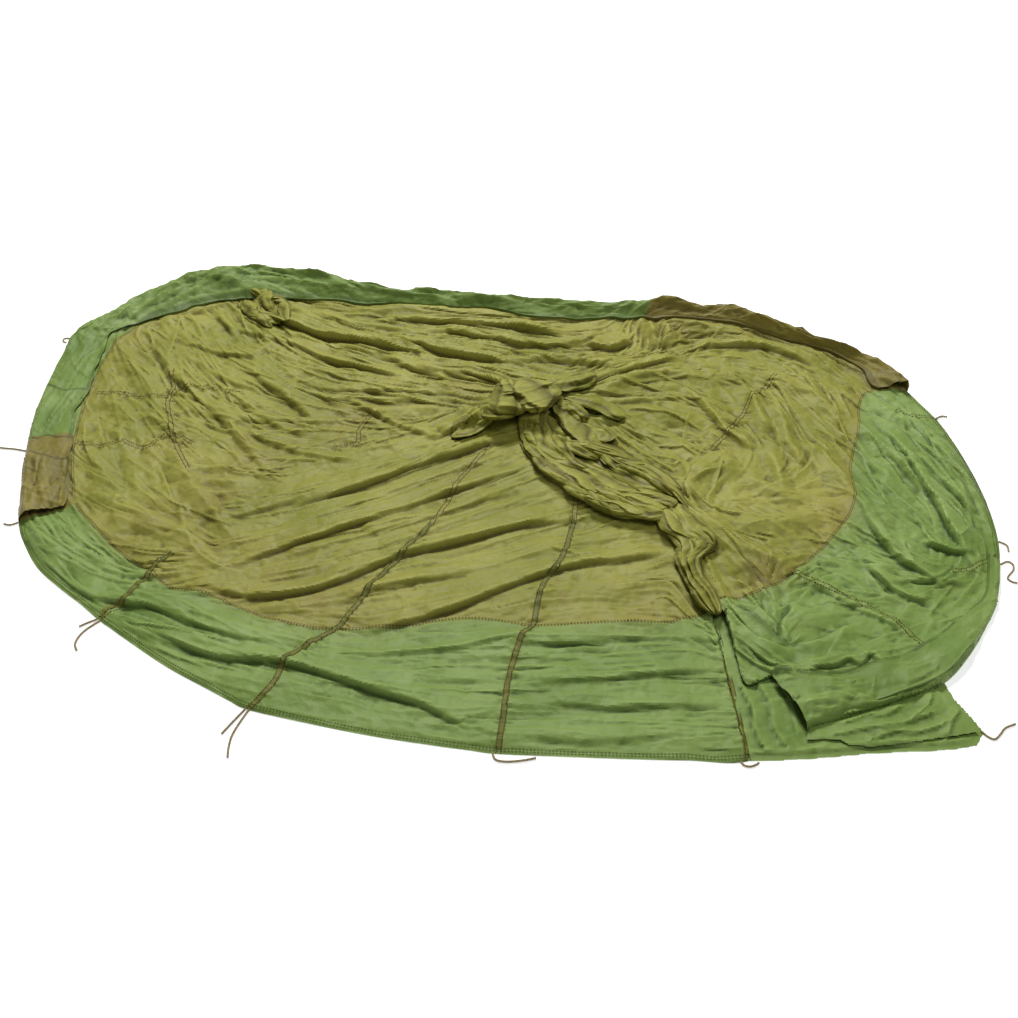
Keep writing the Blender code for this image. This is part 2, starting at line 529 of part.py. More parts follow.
def over_tucked(xy):
    """The flap rides over the tucked panel near its front end."""
    return UNDER_FLAP * np.clip((-xy[:, 1] - 0.27) / 0.02, 0, 1) * np.clip((0.86 - xy[:, 0]) / 0.05, 0, 1)


def build():
    group = clear_scene()
    crown_folds = FAN_FOLDS + LEFT_FOLDS + BACK_FOLDS + RIGHT_FOLDS + GATHER
    cloth = [flat_sheet(group, "crown_cloth", crown_outline(), crown_folds, OLIVE, cell=0.050)]
    all_folds = crown_folds + SKIRT_FOLDS
    for name, rows in FRONT.items():
        crown, edge = rim_chain(rows)
        cloth.append(flat_sheet(group, name, crown + edge[::-1], all_folds, GREEN))
    cloth.append(flat_sheet(group, "skirt_05", TUCKED, [], GREEN))
    for name, rows in TURNED.items():
        colour = BROWN if name in BROWN_PANELS else GREEN
        cloth.append(turned_sheet(group, name, rows, colour, UNDER_FLAP if name == "skirt_06" else 0.0))
    top = cloth_top(cloth)
    for name, route in TAPES.items():
        seam_tape(group, name, route, top)
    for name, route in CORDS.items():
        line_end(group, name, route)


build()
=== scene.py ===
"""Round parachute canopy, spread out and rumpled on a pale floor.

The cloth that lies on the floor is one fine grid. The fold tables shape it, a short relaxation in
numpy and layers of flat facets crease it, and it is then cut into the crown and the skirt panels.
The turned-back skirt, the gathered rolls and the apex knot are laid over it, then tapes and
stitches. The cut line ends lie on the floor round the hem.
Layout coordinates (metres, floor plan) are moved by CENTRE into the part's frame.
"""
import math

import bpy
import numpy as np
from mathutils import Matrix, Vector, geometry


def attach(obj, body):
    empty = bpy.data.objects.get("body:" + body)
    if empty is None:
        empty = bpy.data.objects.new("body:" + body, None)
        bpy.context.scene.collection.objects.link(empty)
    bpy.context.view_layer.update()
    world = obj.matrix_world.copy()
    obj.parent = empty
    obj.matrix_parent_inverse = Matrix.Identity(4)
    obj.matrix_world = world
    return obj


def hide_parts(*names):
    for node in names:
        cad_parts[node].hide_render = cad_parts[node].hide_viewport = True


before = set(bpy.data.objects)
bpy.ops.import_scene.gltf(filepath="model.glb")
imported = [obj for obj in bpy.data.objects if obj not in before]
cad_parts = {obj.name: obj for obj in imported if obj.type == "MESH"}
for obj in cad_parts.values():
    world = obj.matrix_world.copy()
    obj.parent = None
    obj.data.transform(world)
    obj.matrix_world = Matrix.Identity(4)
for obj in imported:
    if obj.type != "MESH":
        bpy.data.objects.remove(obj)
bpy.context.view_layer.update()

CENTRE = (-0.048, 0.1437)   # middle of the laid-out canopy in the layout drawing
STEP = 0.003                # spacing of the cloth grid
GRID_X = (-1.115, 1.035)
GRID_Y = (-0.685, 0.965)
CORD = 0.004                # suspension line diameter
CORD_REST = 0.0021          # cord axis above the floor
CORD_STEP = 0.004           # spacing of points along a cord


# ---- the rim: crown seam point, outer edge point, turn-back depth, turn-back height
# Stations run round the canopy from the left seam along the front, right, back, left.
FRONT = {
    "skirt_01": [(-.900, .005, -1.003, -.045), (-.860, -.045, -.975, -.105),
                 (-.815, -.100, -.925, -.180), (-.765, -.150, -.865, -.238),
                 (-.725, -.178, -.815, -.280), (-.695, -.205, -.765, -.325)],
    "skirt_02": [(-.695, -.205, -.765, -.325), (-.650, -.243, -.690, -.385),
                 (-.590, -.255, -.610, -.445), (-.520, -.292, -.530, -.495),
                 (-.440, -.330, -.490, -.520), (-.345, -.352, -.450, -.542)],
    "skirt_03": [(-.345, -.352, -.450, -.542), (-.260, -.352, -.340, -.573),
                 (-.180, -.345, -.230, -.600), (-.100, -.325, -.125, -.620),
                 (-.030, -.330, -.065, -.630), (.045, -.345, -.020, -.637)],
    "skirt_04": [(.045, -.345, -.020, -.637), (.130, -.345, .090, -.643),
                 (.220, -.337, .200, -.648), (.300, -.336, .300, -.651),
                 (.378, -.310, .397, -.652)],
    "skirt_07": [(.727, .060, .965, -.170), (.735, .120, .985, -.095),
                 (.757, .190, .993, -.030), (.780, .250, .997, .050),
                 (.797, .310, .995, .150), (.808, .360, .986, .240),
                 (.830, .410, .972, .318), (.855, .430, .935, .425)],
}
TURNED = {
    "skirt_06": [(.392, -.283, .505, -.590, .118, .024), (.450, -.270, .555, -.572, .104, .024),
                 (.510, -.240, .610, -.553, .084, .022), (.555, -.200, .670, -.532, .075, .022),
                 (.600, -.155, .730, -.506, .073, .021), (.640, -.110, .785, -.470, .074, .020),
                 (.675, -.065, .840, -.408, .058, .018), (.705, -.020, .885, -.345, .032, .014),
                 (.722, .020, .925, -.280, .020, .012), (.727, .060, .965, -.170, .018, .011)],
    "skirt_08": [(.855, .430, .935, .425, .045, .026), (.832, .500, .905, .490, .045, .034),
                 (.785, .555, .865, .535, .042, .036), (.730, .600, .800, .580, .036, .036),
                 (.660, .645, .735, .630, .036, .036), (.580, .690, .660, .685, .038, .038),
                 (.500, .708, .575, .740, .045, .046), (.420, .720, .470, .762, .040, .048),
                 (.340, .730, .370, .780, .036, .044)],
    "skirt_09": [(.340, .730, .370, .780, .036, .034), (.250, .735, .250, .782, .034, .034),
                 (.150, .742, .150, .788, .034, .034), (.050, .752, .050, .800, .034, .036),
                 (-.050, .765, -.050, .812, .034, .036)],
    "skirt_10": [(-.050, .765, -.050, .812, .034, .036), (-.150, .780, -.150, .832, .036, .038),
                 (-.250, .785, -.250, .842, .040, .040), (-.350, .800, -.350, .862, .044, .042),
                 (-.440, .818, -.450, .892, .050, .046)],
    "skirt_11": [(-.440, .818, -.450, .892, .054, .046), (-.540, .838, -.545, .922, .062, .050),
                 (-.640, .850, -.645, .940, .068, .052), (-.720, .842, -.740, .932, .070, .056)],
    "skirt_12": [(-.720, .842, -.740, .932, .070, .056), (-.800, .815, -.830, .902, .070, .046),
                 (-.865, .775, -.920, .852, .072, .044), (-.925, .722, -.985, .790, .068, .036),
                 (-.962, .662, -1.083, .665, .090, .022)],
    "skirt_13": [(-.962, .662, -1.083, .665, .098, .015), (-.978, .600, -1.090, .600, .098, .014),
                 (-.984, .530, -1.092, .530, .098, .014), (-.985, .455, -1.090, .455, .098, .014)],
    "skirt_14": [(-.985, .455, -1.090, .455, .098, .014), (-.984, .380, -1.087, .380, .097, .014),
                 (-.975, .310, -1.080, .305, .098, .014), (-.965, .240, -1.068, .230, .098, .014)],
    "skirt_15": [(-.965, .240, -1.068, .230, .096, .015), (-.952, .170, -1.052, .150, .096, .016),
                 (-.930, .090, -1.030, .060, .094, .017), (-.900, .005, -1.003, -.045, .092, .018)],
}
BROWN_PANELS = ("skirt_08", "skirt_15")


# ---- folds: height, width on the left side, width on the right side, crest line ---
# Crest lines run towards the apex, so the left side is the far, gentle one.
FAN_FOLDS = [
    (.018, .050, .016, [(-.62, -.045), (-.55, -.02), (-.45, .02), (-.35, .065), (-.25, .115),
                        (-.08, .205)]),
    (.028, .045, .014, [(-.46, 0), (-.38, .035), (-.30, .07), (-.20, .13), (-.10, .19), (.0, .245)]),
    (.016, .030, .018, [(-.46, -.075), (-.36, -.02), (-.26, .04), (-.16, .095), (-.06, .15), (.02, .20)]),
    (.030, .045, .014, [(-.54, -.175), (-.45, -.13), (-.38, -.095), (-.30, -.055), (-.22, -.01),
                        (-.14, .035), (-.05, .085), (.04, .13)]),
    (.014, .030, .020, [(-.45, -.155), (-.35, -.115), (-.25, -.075), (-.15, -.025), (-.05, .025),
                        (.06, .07)]),
    (.014, .030, .020, [(-.42, -.195), (-.30, -.145), (-.20, -.105), (-.10, -.05), (.0, .0), (.10, .03)]),
    (.030, .050, .014, [(-.60, -.225), (-.52, -.255), (-.45, -.262), (-.38, -.248), (-.30, -.21),
                        (-.22, -.155), (-.15, -.13), (-.05, -.09), (.03, -.06), (.14, -.04)]),
    (.016, .030, .020, [(-.34, -.285), (-.25, -.24), (-.15, -.215), (-.05, -.185), (.05, -.15),
                        (.16, -.115), (.28, -.085)]),
    (.030, .050, .014, [(-.26, -.352), (-.15, -.315), (-.08, -.28), (.0, -.235), (.06, -.205),
                        (.12, -.18), (.20, -.165), (.31, -.15)]),
    (.012, .030, .025, [(.02, -.27), (.12, -.25), (.22, -.235), (.31, -.22)]),
]
LEFT_FOLDS = [
    (.018, .030, .045, [(-.80, .02), (-.76, -.01), (-.70, -.055), (-.64, -.10), (-.60, -.14),
                        (-.56, -.19)]),
    (.022, .030, .025, [(-.74, .20), (-.70, .13), (-.66, .06), (-.60, -.02), (-.57, -.07), (-.53, -.145)]),
    (.014, .025, .025, [(-.92, .18), (-.88, .13), (-.84, .07), (-.80, .02)]),
    (.010, .020, .020, [(-.83, .19), (-.80, .11), (-.77, .02)]),
    (.014, .025, .030, [(-.93, .58), (-.88, .53), (-.85, .46), (-.82, .39), (-.79, .33), (-.76, .27)]),
    (.020, .035, .022, [(-.88, .635), (-.81, .51), (-.77, .46), (-.72, .40), (-.67, .345), (-.62, .28),
                        (-.585, .225), (-.54, .165), (-.51, .11)]),
    (.014, .030, .022, [(-.83, .60), (-.77, .56), (-.72, .52), (-.67, .475), (-.62, .44), (-.56, .41)]),
    (.020, .040, .016, [(-.80, .63), (-.75, .61), (-.72, .59), (-.66, .57), (-.60, .56)]),
    (.020, .035, .022, [(-.64, .54), (-.60, .49), (-.56, .43), (-.50, .385), (-.45, .33), (-.41, .28)]),
    (.016, .030, .018, [(-.66, .40), (-.60, .355), (-.55, .31), (-.50, .275), (-.44, .25)]),
    (.012, .025, .025, [(-.95, .39), (-.90, .35), (-.86, .30), (-.82, .25)]),
    (.016, .030, .020, [(-.60, .28), (-.55, .24), (-.50, .21), (-.42, .18), (-.34, .16)]),
]
BACK_FOLDS = [
    (.038, .055, .015, [(-.60, .76), (-.565, .715), (-.52, .685), (-.47, .655), (-.40, .63),
                        (-.33, .61), (-.27, .595), (-.21, .58)]),
    (.024, .035, .015, [(-.56, .64), (-.50, .60), (-.45, .56), (-.40, .53), (-.34, .51), (-.24, .485)]),
    (.020, .030, .015, [(-.30, .57), (-.26, .54), (-.22, .51), (-.17, .49), (-.14, .465)]),
    (.032, .045, .015, [(-.30, .66), (-.20, .60), (-.14, .575), (-.06, .555), (.0, .545)]),
    (.024, .028, .014, [(-.16, .50), (-.11, .49), (-.05, .465), (-.01, .44)]),
    (.016, .025, .018, [(-.38, .41), (-.35, .37), (-.31, .33), (-.25, .28), (-.16, .245)]),
    (.030, .030, .022, [(-.15, .255), (-.11, .29), (-.07, .34)]),
    (.032, .030, .028, [(-.40, .765), (-.30, .765), (-.20, .76), (-.10, .755), (.02, .745)]),
    (.030, .030, .020, [(-.34, .715), (-.24, .725), (-.14, .715), (-.02, .705), (.06, .685), (.15, .66)]),
    (.026, .030, .020, [(-.22, .665), (-.12, .665), (-.03, .64), (.05, .61), (.12, .60), (.18, .62)]),
    (.028, .035, .018, [(.19, .62), (.23, .60), (.27, .605), (.30, .64)]),
    (.026, .040, .030, [(.02, .55), (.08, .55), (.16, .545), (.22, .52), (.28, .505)]),
    (.040, .022, .022, [(.35, .71), (.36, .65), (.365, .60)]),
    (.040, .022, .022, [(.39, .70), (.395, .65), (.39, .595)]),
    (.030, .030, .030, [(.40, .70), (.48, .69), (.54, .67), (.60, .645)]),
    (.026, .030, .020, [(.44, .60), (.50, .615), (.57, .615), (.64, .60), (.70, .56), (.75, .52)]),
]
RIGHT_FOLDS = [
    (.022, .030, .030, [(.16, .36), (.22, .42), (.30, .46), (.38, .475), (.47, .47), (.55, .49)]),
    (.018, .030, .030, [(.60, .50), (.65, .455), (.70, .41), (.73, .36), (.755, .31)]),
    (.022, .022, .022, [(.56, .41), (.57, .33), (.585, .26)]),
    (.018, .022, .018, [(.575, .22), (.578, .16), (.578, .10), (.575, .04)]),
    (.016, .025, .025, [(.61, .40), (.62, .30), (.62, .22), (.645, .14)]),
    (.016, .030, .025, [(.66, .22), (.69, .15), (.71, .09), (.725, .02), (.745, -.05), (.775, -.11)]),
    (.018, .030, .022, [(.41, .43), (.45, .38), (.475, .31), (.50, .25), (.545, .20)]),
    (.014, .025, .025, [(.22, .33), (.30, .27), (.37, .22), (.42, .17)]),
    (.016, .025, .025, [(.27, .37), (.35, .32), (.42, .29), (.48, .25)]),
    (.026, .045, .040, [(.365, .03), (.39, .08), (.44, .13), (.50, .15)]),
    (.016, .025, .025, [(.50, .11), (.55, .05), (.60, .01)]),
    (.026, .035, .030, [(.55, -.20), (.50, -.165), (.46, -.135), (.42, -.09), (.38, -.03)]),
    (.024, .025, .020, [(.465, -.235), (.445, -.19), (.425, -.14)]),
    (.016, .030, .030, [(.63, -.03), (.58, -.05), (.52, -.06), (.46, -.04)]),
]
GATHER = [
    (.050, .050, .042, [(.040, .27), (.045, .20), (.070, .12), (.115, .055), (.175, .0), (.245, -.045),
                        (.300, -.065), (.330, -.11), (.345, -.17), (.352, -.24), (.362, -.295)]),
    (.042, .040, .045, [(.120, .26), (.140, .18), (.180, .12), (.250, .065), (.320, .015), (.365, -.03),
                        (.392, -.09), (.385, -.16), (.375, -.22)]),
    (.075, .055, .050, [(-.045, .27), (-.02, .325), (.0, .38)]),
    (.085, .050, .050, [(.040, .28), (.07, .33), (.095, .37)]),
    (.050, .040, .035, [(.095, .38), (.15, .39), (.20, .42)]),
]
SKIRT_FOLDS = [
    (.016, .030, .030, [(-.97, -.06), (-.92, -.12), (-.87, -.17), (-.82, -.21)]),
    (.024, .042, .014, [(-.86, -.22), (-.80, -.26), (-.74, -.28), (-.66, -.30), (-.58, -.34),
                        (-.50, -.37), (-.42, -.385), (-.34, -.40)]),
    (.032, .048, .014, [(-.68, -.34), (-.60, -.385), (-.52, -.42), (-.44, -.43), (-.36, -.45),
                        (-.28, -.48), (-.20, -.51), (-.12, -.55), (-.06, -.58)]),
    (.016, .034, .013, [(-.30, -.42), (-.22, -.41), (-.12, -.40), (-.03, -.38), (.03, -.37)]),
    (.014, .034, .013, [(-.22, -.47), (-.12, -.48), (-.02, -.475)]),
    (.016, .034, .013, [(.03, -.39), (.12, -.385), (.22, -.37), (.30, -.375), (.37, -.38)]),
    (.018, .038, .014, [(.02, -.47), (.10, -.48), (.18, -.47), (.28, -.455), (.37, -.45)]),
    (.016, .034, .013, [(.06, -.53), (.16, -.535), (.28, -.53), (.37, -.53)]),
    (.012, .028, .012, [(.03, -.60), (.12, -.61), (.22, -.60), (.30, -.59)]),
    (.020, .030, .022, [(.79, .27), (.83, .20), (.86, .12), (.88, .05), (.92, -.02)]),
    (.018, .025, .025, [(.80, .12), (.82, .05), (.84, -.01)]),
    (.018, .025, .025, [(.90, .27), (.93, .19), (.96, .11), (.975, .03)]),
    (.016, .025, .025, [(.84, .38), (.87, .33), (.90, .27)]),
]


# ---- radial seam tapes: route on the cloth, from the crown out to the skirt hem ---
TAPES = {
    "seam_tape_1": [(-.665, -.150), (-.690, -.180), (-.700, -.215), (-.715, -.250), (-.725, -.280),
                    (-.755, -.300), (-.762, -.318)],
    "seam_tape_2": [(-.155, -.060), (-.175, -.095), (-.205, -.140), (-.235, -.190), (-.265, -.240),
                    (-.290, -.295), (-.315, -.345), (-.350, -.375), (-.380, -.410), (-.405, -.440),
                    (-.412, -.480), (-.430, -.515), (-.447, -.536)],
    "seam_tape_3": [(.130, -.030), (.125, -.080), (.112, -.140), (.095, -.185), (.072, -.220),
                    (.055, -.280), (.045, -.340), (.025, -.370), (.010, -.420), (.000, -.470),
                    (-.006, -.520), (-.012, -.580), (-.018, -.628)],
    "seam_tape_4": [(.389, -.420), (.391, -.470), (.393, -.520), (.395, -.580), (.396, -.640)],
}


# ---- suspension line ends on the floor: (x, y) along each route -------------------
CORDS = {
    "line_end_01": [(-.7632, -.327), (-.783, -.350), (-.792, -.370), (-.793, -.388), (-.786, -.402)],
    "line_end_02": [(-.7692, -.3228), (-.786, -.333), (-.798, -.342)],
    "line_end_03": [(-.4498, -.5427), (-.462, -.575), (-.469, -.600), (-.470, -.625), (-.468, -.645)],
    "line_end_04": [(-.4555, -.5395), (-.472, -.568), (-.487, -.595)],
    "line_end_05": [(-.0275, -.6376), (-.022, -.650), (-.005, -.654), (.020, -.652), (.045, -.6465)],
    "line_end_06": [(.384, -.6536), (.389, -.662), (.399, -.664), (.409, -.660), (.414, -.6565)],
    "line_end_07": [(.8016, -.590), (.810, -.602), (.820, -.607), (.832, -.597), (.845, -.583),
                    (.865, -.574)],
    "line_end_08": [(.9833, -.1042), (.996, -.116), (.994, -.134)],
    "line_end_09": [(.9665, -.1717), (.982, -.164), (.990, -.172), (.986, -.188), (.973, -.203),
                    (.967, -.213), (.973, -.222), (.982, -.225)],
    "line_end_10": [(.9711, .3158), (.987, .327), (1.000, .324)],
    "line_end_11": [(.9121, .4638), (.938, .478), (.946, .466), (.944, .450), (.938, .441)],
    "line_end_12": [(-1.0856, .6545), (-1.103, .661), (-1.111, .655), (-1.108, .645), (-1.100, .641)],
    "line_end_13": [(-1.0628, .1958), (-1.090, .203), (-1.112, .206), (-1.128, .209)],
    "line_end_14": [(-1.0038, -.0452), (-1.018, -.053), (-1.032, -.050)],
}

# The lump under the gathered roll and the knot.
GATHER_BASE = [(0.45 * height, left, right, line) for height, left, right, line in GATHER]


# ---- extra tables of the visual model ----------------------------------------------
PANELS = ["skirt_01", "skirt_02", "skirt_03", "skirt_04", "skirt_06", "skirt_07", "skirt_08", "skirt_09",
          "skirt_10", "skirt_11", "skirt_12", "skirt_13", "skirt_14", "skirt_15"]
# Free left edge of the right front panel: from its fold, up the flap's end and along its hem corner.
FLAP_LEFT = [(.505, -.590), (.500, -.520), (.495, -.462), (.480, -.468), (.450, -.480), (.415, -.490),
             (.407, -.420), (.400, -.340), (.392, -.283)]
UNDER_FLAP = 0.006

# Folds finer than the solids' own: height, width left, width right, crest line.
FINE_FOLDS = [
    (.016, .016, .012, [(-.22, .575), (-.16, .548), (-.10, .520), (-.04, .495), (.0, .470)]),
    (.014, .014, .011, [(-.20, .545), (-.14, .525), (-.08, .500), (-.03, .475)]),
    (.012, .014, .010, [(-.24, .520), (-.18, .505), (-.12, .482), (-.06, .455)]),
    (.014, .022, .013, [(-.42, .600), (-.38, .565), (-.34, .535), (-.28, .505)]),
    (.010, .018, .012, [(-.70, .330), (-.62, .310), (-.55, .300), (-.45, .300), (-.35, .300)]),
    (.009, .018, .012, [(-.78, .420), (-.70, .380), (-.64, .340), (-.60, .300)]),
    (.012, .020, .012, [(-.52, .470), (-.44, .440), (-.36, .425), (-.28, .420), (-.20, .410),
                        (-.10, .395)]),
    (.010, .016, .011, [(-.50, .430), (-.42, .395), (-.34, .390), (-.24, .385), (-.14, .370)]),
    (.010, .016, .012, [(-.40, .350), (-.30, .345), (-.20, .345), (-.12, .345)]),
    (.012, .020, .014, [(-.70, .700), (-.62, .655), (-.55, .625), (-.48, .600)]),
    (.014, .020, .014, [(-.74, .760), (-.70, .700), (-.68, .660)]),
    (.014, .016, .014, [(-.66, .790), (-.64, .740), (-.62, .700)]),
    (.016, .022, .013, [(-.52, .790), (-.42, .720), (-.32, .690), (-.20, .655), (-.10, .640)]),
    (.012, .018, .012, [(-.60, .690), (-.50, .640), (-.40, .600), (-.32, .580)]),
    (.016, .020, .014, [(.07, .605), (.12, .600), (.18, .630), (.22, .660)]),
    (.014, .018, .012, [(.10, .460), (.18, .480), (.26, .520), (.34, .555)]),
    (.016, .022, .014, [(.08, .430), (.16, .450), (.24, .480), (.32, .520), (.42, .550)]),
    (.010, .018, .014, [(.16, .400), (.24, .420), (.32, .430), (.42, .440)]),
    (.010, .020, .014, [(.14, .350), (.22, .375), (.32, .385), (.44, .400)]),
    (.012, .018, .014, [(.12, .300), (.18, .290), (.26, .310), (.34, .340)]),
    (.012, .016, .014, [(.33, .740), (.34, .690), (.35, .640)]),
    (.014, .016, .014, [(.42, .680), (.42, .630), (.41, .590)]),
    (.010, .012, .012, [(-.67, .10), (-.62, .085), (-.57, .08)]),
    (.010, .012, .012, [(-.66, .05), (-.60, .045), (-.54, .05)]),
    (.011, .014, .012, [(-.64, .0), (-.58, .005), (-.50, .02)]),
    (.010, .012, .010, [(-.70, .14), (-.64, .13), (-.58, .125)]),
    (.012, .018, .016, [(-.70, -.12), (-.66, -.08), (-.63, -.03)]),
    (.014, .020, .016, [(-.88, .04), (-.84, .03), (-.80, .02)]),
]

# Folds of the right front panel above its turned-back strip.
FLAP_FOLDS = [
    (.015, .030, .009, [(.490, -.468), (.528, -.464), (.552, -.450), (.586, -.444), (.614, -.430),
                        (.631, -.446),
                        (.653, -.418), (.668, -.441), (.695, -.448)]),
    (.024, .010, .030, [(.385, -.296), (.410, -.332), (.436, -.379), (.468, -.402), (.510, -.410)]),
    (.018, .012, .026, [(.424, -.290), (.452, -.330), (.480, -.372), (.500, -.398)]),
    (.018, .045, .010, [(.540, -.285), (.524, -.317), (.506, -.343), (.496, -.392)]),
    (.012, .030, .012, [(.560, -.215), (.600, -.248), (.655, -.300), (.700, -.338), (.735, -.372)]),
    (.012, .022, .012, [(.700, -.250), (.760, -.230), (.830, -.225), (.890, -.235)]),
    (.014, .026, .012, [(.640, -.345), (.600, -.370), (.560, -.395), (.520, -.400)]),
]
# Long folds of the right side of the skirt.
RIM_FOLDS = [
    (.022, .032, .012, [(.881, .190), (.914, .088), (.948, -.021)]),
    (.018, .028, .012, [(.924, .261), (.962, .105), (.974, -.065)]),
    (.020, .036, .014, [(.726, .034), (.749, -.074), (.776, -.164), (.836, -.244)]),
    (.016, .028, .012, [(.827, -.108), (.873, -.135), (.928, -.150)]),
    (.022, .034, .012, [(.834, .287), (.861, .212), (.878, .071), (.896, -.090), (.909, -.179)]),
    (.016, .028, .012, [(.704, -.179), (.742, -.263), (.791, -.290)]),
]
# Painted shade: dark lines where folds close, added to the painted shade of the hollows: line, reach,
# strength.
SHADES = [
    ([(.470, -.487), (.513, -.470), (.563, -.476), (.606, -.462), (.640, -.458), (.684, -.453),
      (.730, -.423)], .005, .5),
    ([(.430, -.310), (.455, -.345), (.478, -.378), (.500, -.396)], .006, .6),
    ([(.524, -.300), (.506, -.330), (.492, -.385)], .005, .6),
    ([(.660, -.445), (.640, -.455)], .005, .5),
    ([(.498, -.212), (.510, -.235), (.520, -.268)], .005, .5),
    ([(.455, -.195), (.470, -.215), (.500, -.238)], .010, .7),
]

# How the cloth is creased: place, direction the creases run in (degrees), order (1: long and side by
# side, 0: crumpled every way) and relief (1: about 5 mm high).
FLOW = [
    (-.90, .55, -58, .7, .7), (-.80, .50, -60, .7, .7), (-.86, .32, -52, .6, .6), (-.90, .12, -48, .5, .7),
    (-.82, .05, -44, .5, .8), (-.72, .45, -50, .7, .8), (-.66, .30, -44, .7, .8), (-.62, .16, -35, .4, 1.),
    (-.60, .05, 5, .1, 1.2), (-.72, .10, -60, .4, .8), (-.56, .50, -32, .7, .9), (-.46, .40, -25, .8, .9),
    (-.36, .32, -15, .6, .9), (-.26, .28, 10, .5, .9), (-.30, .44, -17, .9, 1.), (-.16, .43, -18, .9, 1.1),
    (-.50, .26, -12, .5, .8), (-.42, .18, 18, .5, .7), (-.30, .18, 24, .6, .7), (-.16, .26, 35, .6, .9),
    (-.62, .72, -62, .8, 1.), (-.66, .82, -82, .8, 1.1), (-.50, .66, -38, .8, 1.), (-.40, .58, -26, .9, 1.),
    (-.74, .72, -55, .6, .9), (-.84, .66, -50, .5, .8), (-.30, .70, -15, .9, 1.), (-.30, .80, -6, .9, .9),
    (-.10, .76, -3, .9, 1.), (-.10, .66, -9, .8, 1.1), (.02, .60, -12, .6, 1.2), (.10, .68, 0, .7, 1.1),
    (.20, .60, 15, .4, 1.2), (.0, .50, -24, .8, 1.2), (.30, .70, 72, .5, 1.3), (.38, .64, 82, .5, 1.4),
    (.46, .62, 20, .4, 1.4), (.56, .67, -8, .5, 1.15), (.70, .60, -38, .5, 1.05), (.24, .47, 33, .9, 1.25),
    (.36, .52, 14, .7, 1.05), (.50, .53, -2, .6, .9), (.62, .50, -35, .5, .9), (.24, .38, -8, .7, 1.05),
    (.34, .40, -12, .5, 1.05), (.22, .28, -38, .6, 1.15), (.36, .26, -38, .3, 1.15),
    (.46, .26, -50, .3, 1.15),
    (.46, .40, -30, .3, 1.05), (.56, .36, -68, .5, 1.15), (.62, .24, -80, .6, 1.15),
    (.66, .36, -68, .5, .9),
    (.72, .24, -72, .5, .9), (.56, .10, 60, .1, 1.05), (.46, .10, 48, .3, 1.05), (.62, .0, -15, .2, .8),
    (.50, -.06, -25, .3, .9), (.48, -.16, -60, .5, 1.25), (.42, -.24, -70, .6, 1.25),
    (.56, -.20, 40, .3, 1.15),
    (.35, -.05, -65, .8, 1.), (.28, .02, -40, .8, 1.), (.14, .12, -50, .8, 1.),
    (-.52, -.10, 18, .8, .45), (-.40, .04, 25, .9, .4), (-.28, .06, 28, 1., .45), (-.16, .12, 32, 1., .45),
    (-.06, .18, 34, 1., .45), (-.46, -.20, 12, .8, .45), (-.30, -.14, 22, 1., .45), (-.10, .0, 26, 1., .4),
    (.04, .06, 29, 1., .4), (-.20, -.26, 12, .9, .4), (.0, -.18, 21, .9, .4), (.14, -.08, 20, .9, .4),
    (.25, -.10, 14, .9, .4), (.20, -.20, 8, .8, .4), (.16, -.29, 4, .7, .3), (-.06, -.29, 10, .8, .3),
    (-.66, -.20, 10, .6, .8), (-.76, -.10, -36, .6, .8), (-.62, -.10, -48, .4, 1.),
    (-.96, -.08, -52, .7, .9), (-.88, -.18, -42, .7, 1.), (-.80, -.25, -35, .8, 1.),
    (-.70, -.32, -30, .8, 1.),
    (-.60, -.38, -25, .8, .55), (-.50, -.43, -20, .8, .55), (-.40, -.46, -16, .8, .5),
    (-.30, -.42, -8, .8, .4),
    (-.20, -.40, 3, .8, .4), (-.10, -.46, 0, .9, .5), (-.20, -.56, -15, .8, .3), (.10, -.45, 0, .9, .5),
    (.20, -.39, 3, .8, .5), (.30, -.50, 0, .9, .5), (.20, -.60, -2, .8, .25),
    (.45, -.36, -52, .6, 1.1), (.55, -.34, 40, .2, .8), (.62, -.28, -35, .3, .9), (.72, -.34, 32, .3, .8),
    (.76, -.20, -32, .4, 1.), (.66, -.14, -42, .3, .9), (.80, -.05, -60, .6, 1.1), (.80, .12, -74, .6, 1.),
    (.86, .0, -68, .6, 1.), (.90, .16, -74, .7, 1.), (.95, .08, -80, .7, .9), (.91, .30, -68, .7, 1.),
    (.86, .36, -70, .5, .9), (.86, -.26, 35, .3, .8), (.92, -.14, 60, .3, .9),
    (.56, -.52, 12, .6, .8), (.66, -.50, 22, .6, .8), (.78, -.44, 32, .6, .8),
    (-.80, .87, 25, .6, 1.2), (-.92, .80, 40, .5, 1.2), (-1.0, .74, 62, .5, 1.1), (-.70, .89, 5, .5, 1.1),
    (-.56, .88, -16, .7, 1.), (-.46, .86, -20, .8, 1.), (-.36, .84, -14, .9, .9), (-.20, .81, -5, .9, .9),
    (.0, .79, -3, .9, .9), (.20, .77, 0, .8, .9), (.35, .76, -5, .5, 1.1), (.50, .73, -15, .6, 1.),
    (.60, .69, -30, .7, 1.), (.70, .63, -40, .7, 1.), (.80, .55, -45, .7, 1.), (.88, .48, -55, .7, 1.),
    (-1.04, .60, 86, .6, .5), (-1.04, .40, 88, .6, .5), (-1.04, .20, -82, .7, .9), (-.98, .05, -74, .8, 1.),
]

